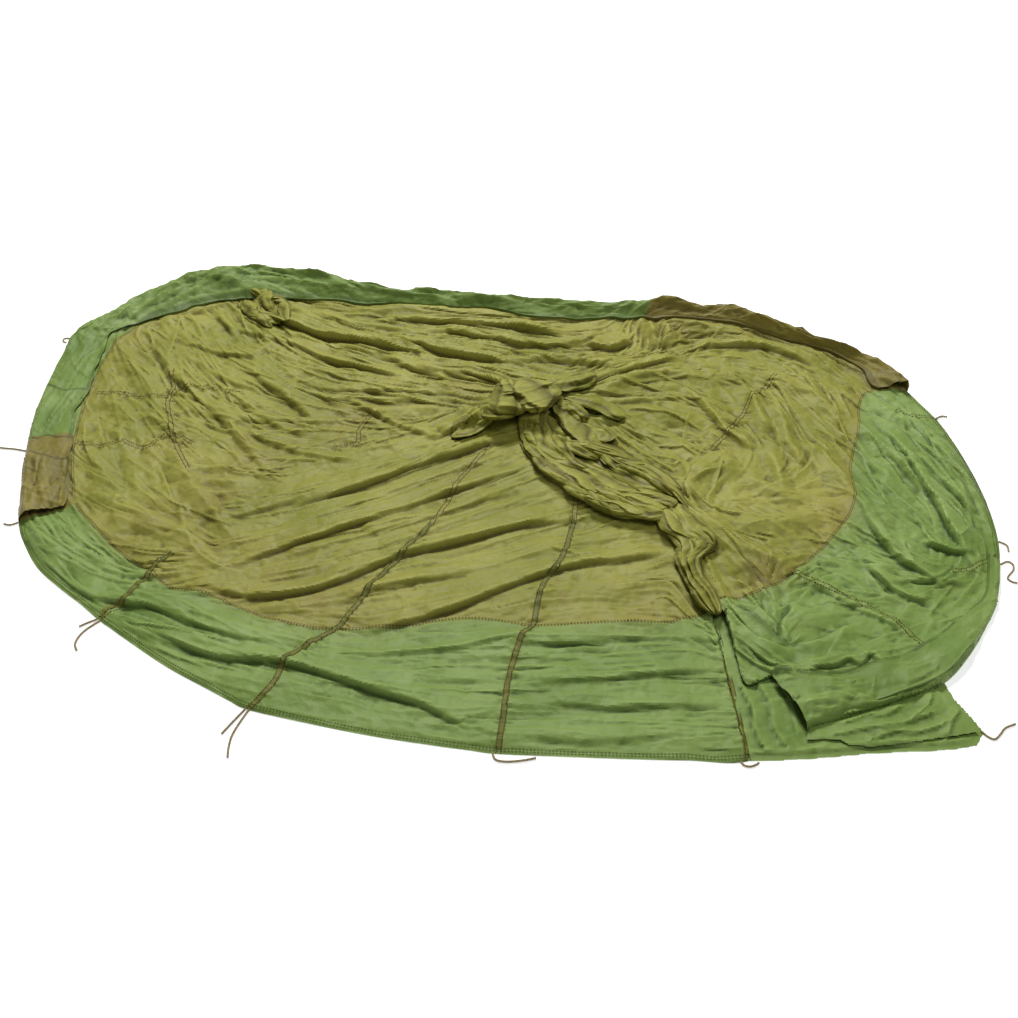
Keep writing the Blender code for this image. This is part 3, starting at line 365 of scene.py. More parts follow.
# Brownish stains on the cloth: place, radius, strength.
STAINS = [
    (-.62, .02, .10, .8), (-.72, -.06, .08, .6), (-.48, -.20, .10, .7), (-.33, -.30, .10, .7),
    (-.36, .33, .10, .5), (-.55, .16, .08, .5), (.50, -.21, .04, 1.), (.66, -.02, .06, .7),
    (.40, .66, .06, .8), (.52, .70, .08, .6), (-.65, .87, .05, .8), (-.12, .42, .08, .6),
    (-.10, .10, .06, .4), (-.60, -.13, .06, .6), (.20, .62, .08, .5), (.25, -.30, .10, .4),
    (-.90, .60, .06, .4), (-.75, .20, .07, .4),
]

# Sewn seams that show on the lying cloth. The first four run along the tapes, to ends of their own.
SEAMS = {
    "middle": [(.140, .020), (.135, -.030)] + TAPES["seam_tape_3"][1:-1] + [(-.018, -.636)],
    "left": [(-.04, .21), (-.10, .09), (-.140, -.020)] + TAPES["seam_tape_2"][1:-1] + [(-.450, -.541)],
    "right": [(.383, -.330)] + TAPES["seam_tape_4"][:-1] + [(.397, -.650)],
    "far_left": TAPES["seam_tape_1"][:5] + [(-.765, -.325)],
    "left_low": [(-.950, .210), (-.920, .206), (-.890, .205), (-.860, .225), (-.800, .205), (-.760, .250),
                 (-.700, .220)],
    "left_high": [(-.960, .415), (-.900, .410), (-.850, .395), (-.800, .400), (-.760, .425), (-.700, .420),
                  (-.630, .410)],
    "left_cross": [(-.800, .490), (-.790, .440), (-.790, .380), (-.770, .310), (-.750, .250), (-.720, .180),
                   (-.690, .120)],
    "mid_left": [(-.320, .310), (-.335, .260), (-.335, .220), (-.360, .210), (-.390, .200)],
    "right_line": [(.630, .470), (.600, .435), (.570, .400), (.535, .330), (.500, .270), (.470, .230),
                   (.440, .190)],
    "right_hem": [(.965, -.150), (.930, -.172), (.900, -.190), (.860, -.200)],
    "right_low": [(.550, -.200), (.600, -.240), (.660, -.290), (.720, -.345), (.745, -.400)],
    "right_top": [(.880, .330), (.900, .322), (.930, .320), (.986, .318)],
}


# ---- camera, light and floor ------------------------------------------------------
def place(x, y, z=0.0):
    """A place of the layout in the part's frame."""
    return (x - CENTRE[0], y - CENTRE[1], z)


EYE = np.array([0.0, -1.907, 1.6])      # the camera, in layout coordinates
LOOK_DOWN = 40              # degrees below the horizon
HALF_VIEW = 509 / 1199      # half the picture's width over the distance to it
SKY = 0.145                 # strength of the white sky
FLOOR_GLOW = 0.48           # light that the floor itself gives off
# Lamps: name, position, target, diameter, power.
LAMPS = (("key", (-0.3, 3.9, 4.9), (0, 0, 0), 1.7, 330),
         ("top", (1.0, -1.2, 4.0), (0.3, -0.3, 0), 2.0, 42))


def make_camera():
    """The camera of the main view."""
    data = bpy.data.cameras.new("camera")
    data.sensor_width = 36
    data.angle = 2 * math.atan(HALF_VIEW)
    camera = bpy.data.objects.new("camera", data)
    camera.location = place(*EYE)
    camera.rotation_euler = (math.radians(90 - LOOK_DOWN), 0, 0)
    bpy.context.scene.collection.objects.link(camera)
    bpy.context.scene.camera = camera


def lamp(name, position, target, size, power):
    """A white round area light that faces the target."""
    data = bpy.data.lights.new(name, "AREA")
    data.shape = "DISK"
    data.size = size
    data.energy = power
    obj = bpy.data.objects.new(name, data)
    obj.location = position
    obj.rotation_euler = (Vector(target) - Vector(position)).to_track_quat("-Z", "Y").to_euler()
    bpy.context.scene.collection.objects.link(obj)


def make_studio():
    """Soft studio light and a plain pale floor."""
    scene = bpy.context.scene
    scene.view_settings.view_transform = "Standard"
    world = bpy.data.worlds.new("studio")
    scene.world = world
    world.use_nodes = True
    world.node_tree.nodes["Background"].inputs["Color"].default_value = (1.0, 1.0, 1.0, 1)
    world.node_tree.nodes["Background"].inputs["Strength"].default_value = SKY
    for row in LAMPS:
        lamp(*row)
    bpy.ops.mesh.primitive_plane_add(size=60, location=(0, 0, -0.0002))
    floor = bpy.context.object
    floor.name = "floor"
    mat = bpy.data.materials.new("floor_white")
    mat.use_nodes = True
    shader = mat.node_tree.nodes["Principled BSDF"]
    shader.inputs["Base Color"].default_value = (0.92, 0.92, 0.92, 1)
    shader.inputs["Roughness"].default_value = 0.9
    shader.inputs["Specular IOR Level"].default_value = 0.1
    shader.inputs["Emission Color"].default_value = (1, 1, 1, 1)
    shader.inputs["Emission Strength"].default_value = FLOOR_GLOW
    floor.data.materials.append(mat)


# ---- lines and noise --------------------------------------------------------------
def spline(points, per=6, closed=False):
    """Catmull-Rom curve through the points; every given point is kept."""
    p = np.array(points, float)
    if closed:
        p = np.vstack([p[-1], p, p[0], p[1]])
    else:
        p = np.vstack([2 * p[0] - p[1], p, 2 * p[-1] - p[-2]])
    t = (np.arange(per) / per)[:, None]
    out = []
    for a, b, c, d in zip(p[:-3], p[1:-2], p[2:-1], p[3:]):
        out.append(0.5 * (2 * b + (c - a) * t + (2 * a - 5 * b + 4 * c - d) * t ** 2
                          + (3 * b - a - 3 * c + d) * t ** 3))
    out = np.vstack(out)
    return out if closed else np.vstack([out, p[-2]])


def run_along(line):
    """Distance of each point from the start, along the line's plan."""
    runs = np.linalg.norm(np.diff(line[:, :2], axis=0), axis=1)
    return np.concatenate([[0], np.cumsum(runs)])


def directions(line):
    """Unit vectors along a line and to its left, at each point."""
    way = np.gradient(line, axis=0)
    way /= np.linalg.norm(way, axis=1)[:, None]
    return way, np.stack([-way[:, 1], way[:, 0]], axis=1)


def even(line, step):
    """Points every step or so along a line, ends kept."""
    line = np.array(line, float)
    dist = run_along(line)
    at = np.linspace(0, dist[-1], max(2, int(round(dist[-1] / step)) + 1))
    return np.stack([np.interp(at, dist, line[:, k]) for k in range(line.shape[1])], axis=1)


def noise(u, v, seed):
    """Smooth value noise between -1 and 1, one lattice cell per unit of u and v."""
    rng = np.random.default_rng(seed)
    table = rng.uniform(-1, 1, (256, 256))
    iu, iv = np.floor(u).astype(int), np.floor(v).astype(int)
    fu, fv = u - iu, v - iv
    fu, fv = fu * fu * (3 - 2 * fu), fv * fv * (3 - 2 * fv)
    iu, iv = iu % 256, iv % 256
    ju, jv = (iu + 1) % 256, (iv + 1) % 256
    top = table[iv, iu] * (1 - fu) + table[iv, ju] * fu
    low = table[jv, iu] * (1 - fu) + table[jv, ju] * fu
    return top * (1 - fv) + low * fv


def waver(xy, size, amount, seed):
    """Points moved about by smooth noise of that cell size."""
    u, v = xy[..., 0] / size, xy[..., 1] / size
    move = np.stack([noise(u, v, seed), noise(u + 31.7, v + 11.3, seed + 1)], axis=-1)
    return xy + amount * move


def inside(xy, outline):
    """Even-odd test of points against an outline."""
    x, y = xy[:, 0], xy[:, 1]
    low, high = outline.min(axis=0), outline.max(axis=0)
    near = (x > low[0]) & (x < high[0]) & (y > low[1]) & (y < high[1])
    hit = np.zeros(len(xy), bool)
    xs, ys = x[near], y[near]
    part = np.zeros(len(xs), bool)
    nxt = np.roll(outline, -1, axis=0)
    for (x0, y0), (x1, y1) in zip(outline, nxt):
        if y0 != y1:
            cross = (y0 > ys) != (y1 > ys)
            part ^= cross & (xs < (x1 - x0) * (ys - y0) / (y1 - y0) + x0)
    hit[near] = part
    return hit


def close_by(flat, line, margin):
    """Numbers of the points in a box that reaches that far round the line."""
    low, high = line.min(axis=0) - margin, line.max(axis=0) + margin
    return np.where(((flat > low) & (flat < high)).all(axis=1))[0]


def nearest_on(xy, line):
    """Distance, side (left positive), share of the length, and nearest point of a polyline."""
    line = np.array(line, float)
    runs = np.linalg.norm(np.diff(line, axis=0), axis=1)
    start = np.concatenate([[0], np.cumsum(runs)])
    best = np.full(len(xy), 9.0)
    side = np.zeros(len(xy))
    share = np.zeros(len(xy))
    foot = np.array(xy, float)
    way_at = np.zeros((len(xy), 2))
    for k, run in enumerate(runs):
        way = (line[k + 1] - line[k]) / run
        rel = xy - line[k]
        on = np.clip(rel @ way, 0, run)
        off = rel - on[:, None] * way
        dist = np.hypot(off[:, 0], off[:, 1])
        closer = dist < best
        best = np.where(closer, dist, best)
        side = np.where(closer, np.sign(way[0] * off[:, 1] - way[1] * off[:, 0]), side)
        share = np.where(closer, (start[k] + on) / start[-1], share)
        foot[closer] = (line[k] + on[:, None] * way)[closer]
        way_at[closer] = way
    return best, side, share, foot, way_at


# ---- shape of the lying cloth -----------------------------------------------------
def fold_field(xy, folds, lean, power=2.6, broad=1.6, crisp=0.85):
    """Height and sideways lean of the folds, blended where they meet.

    The gentle side rises slowly to a crisp crest and the steep side drops into a crease; the crest
    leans over the steep side, so the cloth overhangs its own shadow line.
    """
    total = np.zeros(len(xy))
    shift = np.zeros((len(xy), 2))
    order = np.argsort(xy[:, 0])
    sorted_x = xy[order, 0]
    for k, (height, left, right, line) in enumerate(folds):
        line = spline(line, 4) if len(line) < 14 else np.array(line)
        gentle, steep = broad * max(left, right), max(0.65 * min(left, right), 1.5 * STEP)
        even_fold = abs(left - right) <= 0.25 * max(left, right)
        if even_fold:
            gentle = steep = 1.25 * max(left, right)
        low, high = line.min(axis=0) - gentle, line.max(axis=0) + gentle
        near = order[np.searchsorted(sorted_x, low[0]):np.searchsorted(sorted_x, high[0])]
        near = near[(xy[near, 1] > low[1]) & (xy[near, 1] < high[1])]
        if not len(near):
            continue
        dist, side, share, _, way = nearest_on(xy[near], line)
        on_gentle = (side > 0) == (left > right)
        part = np.clip(1 - dist / np.where(on_gentle, gentle, steep), 0, 1)
        bell = part * part * (3 - 2 * part)
        rise = np.where(on_gentle, crisp * part + (1 - crisp) * bell, part * (2 - part))
        if even_fold:
            rise = crisp * part + (1 - crisp) * bell
        ends = np.clip(np.minimum(share, 1 - share) / 0.25, 0, 1)
        ends = 0.1 + 0.9 * ends * (2 - ends)
        size = 1 + 0.25 * noise(share * 5 + k * 3.1, np.full(len(near), k * 1.7), 17)
        z = 0.92 * height * rise * ends * size
        total[near] += z ** power
        if lean and not even_fold:
            over = np.stack([way[:, 1], -way[:, 0]], axis=1) * np.sign(left - right)
            shift[near] += over * (lean * z * z / height)[:, None]
    total = total ** (1 / power)
    return total, shift


FLOW_REACH = 0.05           # how far a FLOW row speaks for the cloth round it


def flow_at(xy):
    """Run of the creases, their order and relief at each point, from the FLOW table."""
    table = np.array(FLOW)
    gap = ((xy[:, None, :] - table[None, :, :2]) ** 2).sum(axis=2)
    w = np.exp(-gap / (2 * FLOW_REACH ** 2)) + 1e-7 / (gap + 1e-4)
    w /= w.sum(axis=1)[:, None]
    double = 2 * np.radians(table[:, 2])
    run = 0.5 * np.arctan2(w @ np.sin(double), w @ np.cos(double))
    return run, w @ table[:, 3], w @ table[:, 4]


# Facets: creases traced, seed, crease length, distance apart, height, looseness, tracing step.
LONG_FACETS = (1400, 51, (.16, .60), .038, .0125, 1.0, 0.02)
FINE_FACETS = (2600, 52, (.06, .20), .020, .0064, 1.3, 0.012)
TINY_FACETS = (5200, 53, (.03, .09), .0105, .0026, 2.0, 0.007)
LAID_FACETS = (2600, 54, (.06, .20), .019, .0082, 1.3, 0.012)     # on the pieces laid over
# Narrow creases: number, seed, length, height, width of a side, looseness, tracing step.
SHARP_CREASES = (1700, 57, (.10, .42), (.0026, .0068), (.006, .013), 0.7, 0.012)


def streamed_creases(count, seed, length, height, wide, loose, pace):
    """Random thin-crested creases that run with the flow of the cloth, in the fold tables' form."""
    rng = np.random.default_rng(seed)
    spots = rng.uniform((GRID_X[0], GRID_Y[0]), (GRID_X[1], GRID_Y[1]), (count, 2))
    _, order, relief = flow_at(spots)
    turn = rng.normal(0, 1, count) * loose * (0.06 + 0.80 * (1 - order) ** 1.5)
    reach = rng.uniform(*length, count) * (0.2 + 1.1 * order)
    relief = relief * (0.45 + 0.65 * order)
    sides = []
    for sign in (1, -1):
        at, way, line = spots.copy(), None, [spots]
        for _ in range(int(max(length) * 1.3 / 2 / pace) + 1):
            angle = flow_at(at)[0] + turn
            step = np.stack([np.cos(angle), np.sin(angle)], axis=1)
            if way is None:
                way = sign * step
            step *= np.where((step * way).sum(axis=1) < 0, -1, 1)[:, None]
            at = at + pace * step
            way = step
            line.append(at)
        sides.append(np.array(line))
    out = []
    for k in range(count):
        n = max(1, int(reach[k] / 2 / pace))
        line = np.vstack([sides[1][n:0:-1, k], sides[0][:n + 1, k]])
        flank = [rng.uniform(*wide), rng.uniform(*wide) * rng.uniform(0.3, 0.8)]
        if rng.random() < 0.35:
            flank.reverse()
        out.append((relief[k] * rng.uniform(*height), flank[0], flank[1], line))
    return out


def free_end(line, free):
    """The part of a crease that keeps clear of the others: all, one end or nothing."""
    if all(free):
        return line
    first = free.index(False)
    if first > len(line) / 2:
        return line[:first]
    return line[first + 1:] if all(free[first + 1:]) else line[:0]


def facet_field(count, seed, length, apart, height, loose, pace):
    """Height on the regular grid of cloth broken into flat facets between sharp-edged creases.

    Creases are traced along the flow, kept a distance apart, and joined to low points between them
    by flat triangles, as in crumpled cloth.
    """
    rng = np.random.default_rng(seed)
    lines = [(size, line) for size, _, _, line in
             streamed_creases(count, seed, length, (0.4, 1.0), (.01, .02), loose, pace)]
    taken = {}
    spots, tall, edges = [], [], []

    def cell(p):
        """Square of a coarse lattice that the place lies in."""
        return int(math.floor(p[0] / apart)), int(math.floor(p[1] / apart))

    def clear(p, reach=apart):
        """True if no place taken so far is nearer than that."""
        i, j = cell(p)
        near = (q for a in (-1, 0, 1) for b in (-1, 0, 1) for q in taken.get((i + a, j + b), ()))
        return all((p[0] - q[0]) ** 2 + (p[1] - q[1]) ** 2 > reach * reach for q in near)

    for size, line in lines:
        line = free_end(line, [clear(p) for p in line])
        if len(line) < 3:
            continue
        for p in line:
            taken.setdefault(cell(p), []).append(p)
        picks = line[::3] if len(line) > 8 else line[::2]
        middle = (len(picks) - 1) / 2
        for k, p in enumerate(picks):
            arch = 1 - (abs(k - middle) / (middle + 0.6)) ** 2
            if k:
                edges.append((len(spots) - 1, len(spots)))
            spots.append(p + rng.normal(0, 0.12 * apart, 2))
            tall.append(size * arch * rng.uniform(0.6, 1.15))
    low, high = (GRID_X[0] - .02, GRID_Y[0] - .02), (GRID_X[1] + .02, GRID_Y[1] + .02)
    for p in rng.uniform(low, high, (4 * count, 2)):
        if clear(p, 0.62 * apart):
            taken.setdefault(cell(p), []).append(p)
            spots.append(p)
            tall.append(rng.uniform(-0.25, 0.15))
    found = geometry.delaunay_2d_cdt([Vector(p) for p in spots], edges, [], 0, 1e-6, True)
    tall = [np.mean([tall[k] for k in origin]) if origin else 0.5 for origin in found[3]]
    where = np.array([tuple(p) for p in found[0]])
    return height * paint_facets(where, np.array(tall), found[2])


def paint_facets(where, tall, faces):
    """Flat interpolation of the facets on the regular grid."""
    nx = len(np.arange(*GRID_X, STEP))
    ny = len(np.arange(*GRID_Y, STEP))
    field = np.zeros((ny, nx))
    place_on = (where - np.array([GRID_X[0], GRID_Y[0]])) / STEP
    for face in faces:
        (ax, ay), (bx, by), (cx, cy) = place_on[list(face)]
        za, zb, zc = tall[list(face)]
        turn = (bx - ax) * (cy - ay) - (cx - ax) * (by - ay)
        if abs(turn) < 1e-9:
            continue
        i0, i1 = max(0, math.ceil(min(ax, bx, cx))), min(nx - 1, math.floor(max(ax, bx, cx)))
        j0, j1 = max(0, math.ceil(min(ay, by, cy))), min(ny - 1, math.floor(max(ay, by, cy)))
        if i0 > i1 or j0 > j1:
            continue
        x, y = np.meshgrid(np.arange(i0, i1 + 1), np.arange(j0, j1 + 1))
        u = ((x - ax) * (cy - ay) - (cx - ax) * (y - ay)) / turn
        v = ((bx - ax) * (y - ay) - (x - ax) * (by - ay)) / turn
        hit = (u >= -1e-6) & (v >= -1e-6) & (u + v <= 1 + 1e-6)
        field[y[hit], x[hit]] = (za + u * (zb - za) + v * (zc - za))[hit]
    return field


# ---- the cloth grid ---------------------------------------------------------------
def rim_ring():
    """Every rim station through one smooth curve, and each panel's own run of it."""
    rows, runs = [], {}
    for name in PANELS:
        table = FRONT[name] if name in FRONT else TURNED[name]
        table = np.array([(list(r) + [0.0, 0.004])[:6] for r in table])
        shared = bool(rows) and np.allclose(rows[-1][:4], table[0][:4])
        if shared:
            rows[-1][4:] = table[0][4:] if rows[-1][4] == 0 else rows[-1][4:]
            table_rows = table[1:]
        else:
            table_rows = table
        first = len(rows) - 1 if shared else len(rows)
        rows += [list(r) for r in table_rows]
        runs[name] = (first, len(rows) - 1)
    rows[0][4:] = rows[-1][4:]
    return np.array(rows), runs


def panel_rims():
    """Smooth crown-side and outer lines of every panel; neighbours share their end points."""
    rows, runs = rim_ring()
    per = 8
    crown = spline(rows[:-1, :2], per, closed=True)
    outer = spline(rows[:-1, 2:4], per, closed=True)
    sizes = spline(rows[:-1, 4:6], per, closed=True)
    out = {}
    for name, (a, b) in runs.items():
        k = np.arange(a * per, b * per + 1) % len(crown)
        out[name] = (crown[k], outer[k], sizes[k])
    return crown, out


def cloth_regions():
    """Outline of each piece of cloth on the floor, and the lines that the grid follows."""
    crown, rims = panel_rims()
    regions, lines, corners = {}, [], []
    for name, (near, far, _) in rims.items():
        outer = far
        if name == "skirt_06":
            left = spline(FLAP_LEFT, 5)
            regions[name] = np.vstack([near, outer[::-1], left[1:-1]])
            lines += [near, outer, left]
            corners += [near[0], near[-1], outer[0], outer[-1]] + [left[0], left[-1]]
            lines.append(even([near[-1], outer[-1]], 0.02))
        else:
            regions[name] = np.vstack([near, outer[::-1]])
            lines += [near, outer, even([near[0], outer[0]], 0.02), even([near[-1], outer[-1]], 0.02)]
            corners += [near[0], near[-1], outer[0], outer[-1]]
    regions["crown_cloth"] = crown
    return regions, lines, corners


def make_plan(lines, corners):
    """Floor plan of the grid: points near a seam or hem are moved onto it."""
    gx, gy = np.meshgrid(np.arange(*GRID_X, STEP), np.arange(*GRID_Y, STEP))
    plan = np.stack([gx, gy], axis=-1)
    flat = plan.reshape(-1, 2)
    on_line = np.zeros(len(flat), bool)
    start = flat.copy()
    nearest = np.full(len(flat), 0.5 * STEP)
    for line in lines:
        near = close_by(start, line, STEP)
        best, _, _, foot, _ = nearest_on(start[near], line)
        take = best <= nearest[near]
        flat[near[take]] = foot[take]
        nearest[near[take]] = best[take]
        on_line[near[take]] = True
    for corner in corners:
        k = np.argmin(np.hypot(*(start - corner).T))
        flat[k] = corner
        on_line[k] = True
    return plan, on_line.reshape(plan.shape[:2])


def make_triangles(plan, on_line, height=None):
    """Two triangles a cell, split so that no edge crosses a seam line, and else along the creases."""
    ny, nx = plan.shape[:2]
    ids = np.arange(ny * nx).reshape(ny, nx)
    a, b, c, d = ids[:-1, :-1], ids[:-1, 1:], ids[1:, 1:], ids[1:, :-1]
    oa, ob, oc, od = on_line[:-1, :-1], on_line[:-1, 1:], on_line[1:, 1:], on_line[1:, :-1]
    odd = (np.add.outer(np.arange(ny - 1), np.arange(nx - 1)) % 2).astype(bool)
    main = np.select([oa & oc & ~(ob & od), ob & od, oa | oc, ob | od], [True, False, True, False], odd)
    if height is not None:
        slope = np.abs(height[:-1, :-1] - height[1:, 1:]) < np.abs(height[:-1, 1:] - height[1:, :-1])
        main = np.where(oa | ob | oc | od, main, slope)
    one = np.where(main[..., None], np.stack([a, b, c], -1), np.stack([a, b, d], -1))
    two = np.where(main[..., None], np.stack([a, c, d], -1), np.stack([b, c, d], -1))
    return np.vstack([one.reshape(-1, 3), two.reshape(-1, 3)])


def label_triangles(plan, tris, regions):
    """Number of the region that each triangle lies in, -1 for none."""
    flat = plan.reshape(-1, 2)
    middle = flat[tris].mean(axis=1)
    label = np.full(len(tris), -1)
    for k, name in enumerate(regions):
        hit = inside(middle, regions[name]) & (label < 0)
        label[hit] = k
    return label


def crease_tensor(run, order, relief):
    """How much longer the cloth is than its large form, along and across its creases."""
    across = np.stack([-np.sin(run), np.cos(run)], axis=1)
    excess = SPARE_ACROSS * relief * (0.3 + 0.7 * order)
    spread = SPARE_ROUND * relief * (1 - 0.8 * order)
    return np.stack([excess * across[:, 0] ** 2 + spread, excess * across[:, 0] * across[:, 1],
                     excess * across[:, 1] ** 2 + spread], axis=1)


def pucker_along(flat, tensor, routes, amount=0.10, reach=0.018):
    """Extra length along the sewn seams, which pucker the cloth beside them."""
    for route in routes:
        line = spline(route, 4)
        near = close_by(flat, line, 0.05)
        best, _, _, _, way = nearest_on(flat[near], line)
        w = amount * np.exp(-(best / reach) ** 2) * (best > 0.004)
        tensor[near, 0] += w * way[:, 0] ** 2
        tensor[near, 1] += w * way[:, 0] * way[:, 1]
        tensor[near, 2] += w * way[:, 1] ** 2
    return tensor


# ---- cloth relaxation --------------------------------------------------------------
# Links between grid points: rows apart, columns apart, stiffness. Links two apart only resist bending.
LINKS = ((0, 1, 0.9), (1, 0, 0.9), (1, 1, 0.6), (1, -1, 0.6),
         (0, 2, 0.14), (2, 0, 0.14), (2, 2, 0.07), (2, -2, 0.07))
SINK = 0.000004             # fall of the cloth in each pass
HOLD = 0.5                  # how firmly the large form is kept


def link_slices(ny, nx):
    """Pairs of grid slices that share no point, so each pair of slices is moved at once."""
    for dy, dx, stiff in LINKS:
        period = 2 * max(dy, abs(dx))
        for s in range(period):
            if dy:
                rows = slice(s, ny - dy, period), slice(s + dy, ny, period)
                cols = slice(max(-dx, 0), nx - max(dx, 0)), slice(max(dx, 0), nx + min(dx, 0))
            else:
                rows = slice(0, ny), slice(0, ny)
                cols = slice(s, nx - dx, period), slice(s + dx, nx, period)
            yield (rows[0], cols[0]), (rows[1], cols[1]), stiff, dy == 2 or dx == 2


def blur(field, mask, radius):
    """Mean over a square window of the points inside the mask."""
    def sums(f):
        for axis in (-2, -1):
            pad = [(0, 0)] * f.ndim
            pad[axis] = (radius + 1, radius)
            c = np.cumsum(np.pad(f, pad, mode="edge"), axis=axis)
            hi = np.take(c, np.arange(2 * radius + 1, c.shape[axis]), axis=axis)
            lo = np.take(c, np.arange(0, c.shape[axis] - 2 * radius - 1), axis=axis)
            f = hi - lo
        return f
    return sums(field * mask) / np.maximum(sums(mask.astype(field.dtype)), 1e-6)


def finer(field, step, shape):
    """A coarse field spread smoothly onto the full grid."""
    for axis, size in ((0, shape[0]), (1, shape[1])):
        at = np.arange(size) / step
        k = np.clip(np.floor(at).astype(int), 0, field.shape[axis] - 2)
        t = np.clip(at - k, 0, 1)
        t = t.reshape([-1 if a == axis else 1 for a in range(field.ndim)])
        last = field.shape[axis] - 1
        a, b, c, d = (np.take(field, np.clip(k + n, 0, last), axis=axis) for n in (-1, 0, 1, 2))
        field = 0.5 * (2 * b + (c - a) * t + (2 * a - 5 * b + 4 * c - d) * t ** 2
                       + (3 * b - a - 3 * c + d) * t ** 3)
    return field


def relax(form, mask, plan, tensor, floor, kick):
    """Let cloth that is a little too long for its large form buckle into creases."""
    ny, nx = mask.shape
    large = np.ascontiguousarray(np.moveaxis(form, -1, 0)).astype(np.float32)
    pos = large.copy()
    pos[2] += kick
    soft = mask.astype(np.float32)
    tens = np.moveaxis(tensor.reshape(ny, nx, 3), -1, 0)
    links = []
    for a, b, stiff, bend in link_slices(ny, nx):
        ra, rb = (slice(None),) + a, (slice(None),) + b
        rest = np.sqrt(((large[rb] - large[ra]) ** 2).sum(axis=0))
        way = np.moveaxis(plan[b] - plan[a], -1, 0)
        way = way / np.maximum(np.sqrt((way ** 2).sum(axis=0)), 1e-9)
        t = (tens[ra] + tens[rb]) / 2
        longer = t[0] * way[0] ** 2 + 2 * t[1] * way[0] * way[1] + t[2] * way[1] ** 2
        rest = (rest * (1 + longer)).astype(np.float32)
        both = soft[a] * soft[b] * np.float32(stiff * 0.5)
        links.append((ra, rb, rest, both, bend))
    for n in range(PASSES):
        pos[2] -= np.float32(SINK)
        for ra, rb, rest, both, bend in links:
            first, second = pos[ra], pos[rb]
            gap = second - first
            size = np.sqrt(np.einsum("kij,kij->ij", gap, gap))
            pull = both * (1 - rest / np.maximum(size, 1e-6))
            if bend:
                np.minimum(pull, 0, out=pull)
            gap *= pull
            first += gap
            second -= gap
        if n % 3 == 0:
            pos -= np.float32(HOLD) * blur(pos - large, soft, WINDOW)
        np.maximum(pos[2], floor, out=pos[2])
    return np.moveaxis(pos, 0, -1).astype(float)


# ---- materials --------------------------------------------------------------------
# Colours of each cloth: main, pale, deep, stain, and the crease colour, painted as shade into hollows and
# creases; and the seed of its mottling.
CLOTHS = {
    "olive_cloth": (((.262, .264, .037), (.352, .342, .066), (.215, .238, .030),
                     (.250, .180, .045), (.072, .055, .008)), 1.0),
    "green_cloth": (((.184, .278, .054), (.252, .358, .092), (.140, .235, .040),
                     (.245, .250, .055), (.035, .065, .010)), 4.0),
    "brown_cloth": (((.235, .195, .038), (.310, .265, .060), (.155, .130, .026),
                     (.165, .190, .050), (.060, .045, .012)), 8.0),
}
# Mottling of the cloth: noise where it starts and where it is full, scale, detail, shift of the seed.
MOTTLING = ((0.40, 0.66, 4.2, 4.0, 0.0), (0.48, 0.80, 7.0, 5.0, 3.0), (0.64, 0.94, 17.0, 6.0, 7.0))
# Attribute shares: soil mixes in the stain colour, crest paints highlights on the crests, and the hollow
# share paints shade into hollows and creases.
MARKS = (("soil", 0.75), ("crest", 0.45), ("hollow", 0.85))    # attributes, and how strongly they show
# Painted highlight: the crests take the pale colour raised by this gain.
PAINTED_HIGHLIGHT_GAIN = 1.25           # crests over the pale colour
ROUGHNESS = (0.46, 0.66)    # of the cloth, from its smoothest to its roughest spots
FACET_BUMPS = ((16.0, 0.0050), (37.0, 0.0021))     # scale and depth of the finest facets
WEAVE = (330.0, 0.04, 0.0002)                      # scale, strength and depth of the weave
# Other materials: colour, dark colour, scale of the mottling, roughness.
PLAIN = {
    "line_cord": ((.36, .29, .16, 1), (.22, .18, .10, 1), 260.0, 0.85),
    "seam_tape": ((.185, .190, .036, 1), (.120, .125, .024, 1), 60.0, 0.6),
    "stitch_thread": ((.050, .050, .012, 1), (.030, .035, .010, 1), 90.0, 0.8),
}
MIX_A, MIX_B, MIX_RESULT = 6, 7, 2      # colour sockets of the mix node


def link(tree, a, out, b, into):
    """Joins an output of one node to an input of another."""
    tree.links.new(a.outputs[out], b.inputs[into])


def ramp_mix(tree, colour_a, colour_b, low, high, scale, detail=3.0, seed=0.0):
    """Two colours mixed by a noise, the edges between low and high."""
    coords = tree.nodes.new("ShaderNodeTexCoord")
    mapping = tree.nodes.new("ShaderNodeMapping")
    mapping.inputs["Location"].default_value = (seed, seed * 0.7, 0)
    tex = tree.nodes.new("ShaderNodeTexNoise")
    tex.inputs["Scale"].default_value = scale
    tex.inputs["Detail"].default_value = detail
    ramp = tree.nodes.new("ShaderNodeMapRange")
    ramp.inputs["From Min"].default_value = low
    ramp.inputs["From Max"].default_value = high
    mix = tree.nodes.new("ShaderNodeMix")
    mix.data_type = "RGBA"
    link(tree, coords, "Object", mapping, "Vector")
    link(tree, mapping, "Vector", tex, "Vector")
    link(tree, tex, "Fac", ramp, "Value")
    link(tree, ramp, "Result", mix, "Factor")
    for index, colour in ((MIX_A, colour_a), (MIX_B, colour_b)):
        if isinstance(colour, tuple):
            mix.inputs[index].default_value = colour
        else:
            tree.links.new(colour, mix.inputs[index])
    return mix.outputs[MIX_RESULT]


def by_attribute(tree, name, colour_a, colour_b, strength):
    """One colour mixed into another where the piece carries that attribute."""
    attr = tree.nodes.new("ShaderNodeAttribute")
    attr.attribute_name = name
    mul = tree.nodes.new("ShaderNodeMath")
    mul.operation = "MULTIPLY"
    mul.use_clamp = True
    mul.inputs[1].default_value = strength
    tree.links.new(attr.outputs["Fac"], mul.inputs[0])
    mix = tree.nodes.new("ShaderNodeMix")
    mix.data_type = "RGBA"
    tree.links.new(mul.outputs[0], mix.inputs[0])
    tree.links.new(colour_a, mix.inputs[MIX_A])
    mix.inputs[MIX_B].default_value = colour_b
    return mix.outputs[MIX_RESULT]


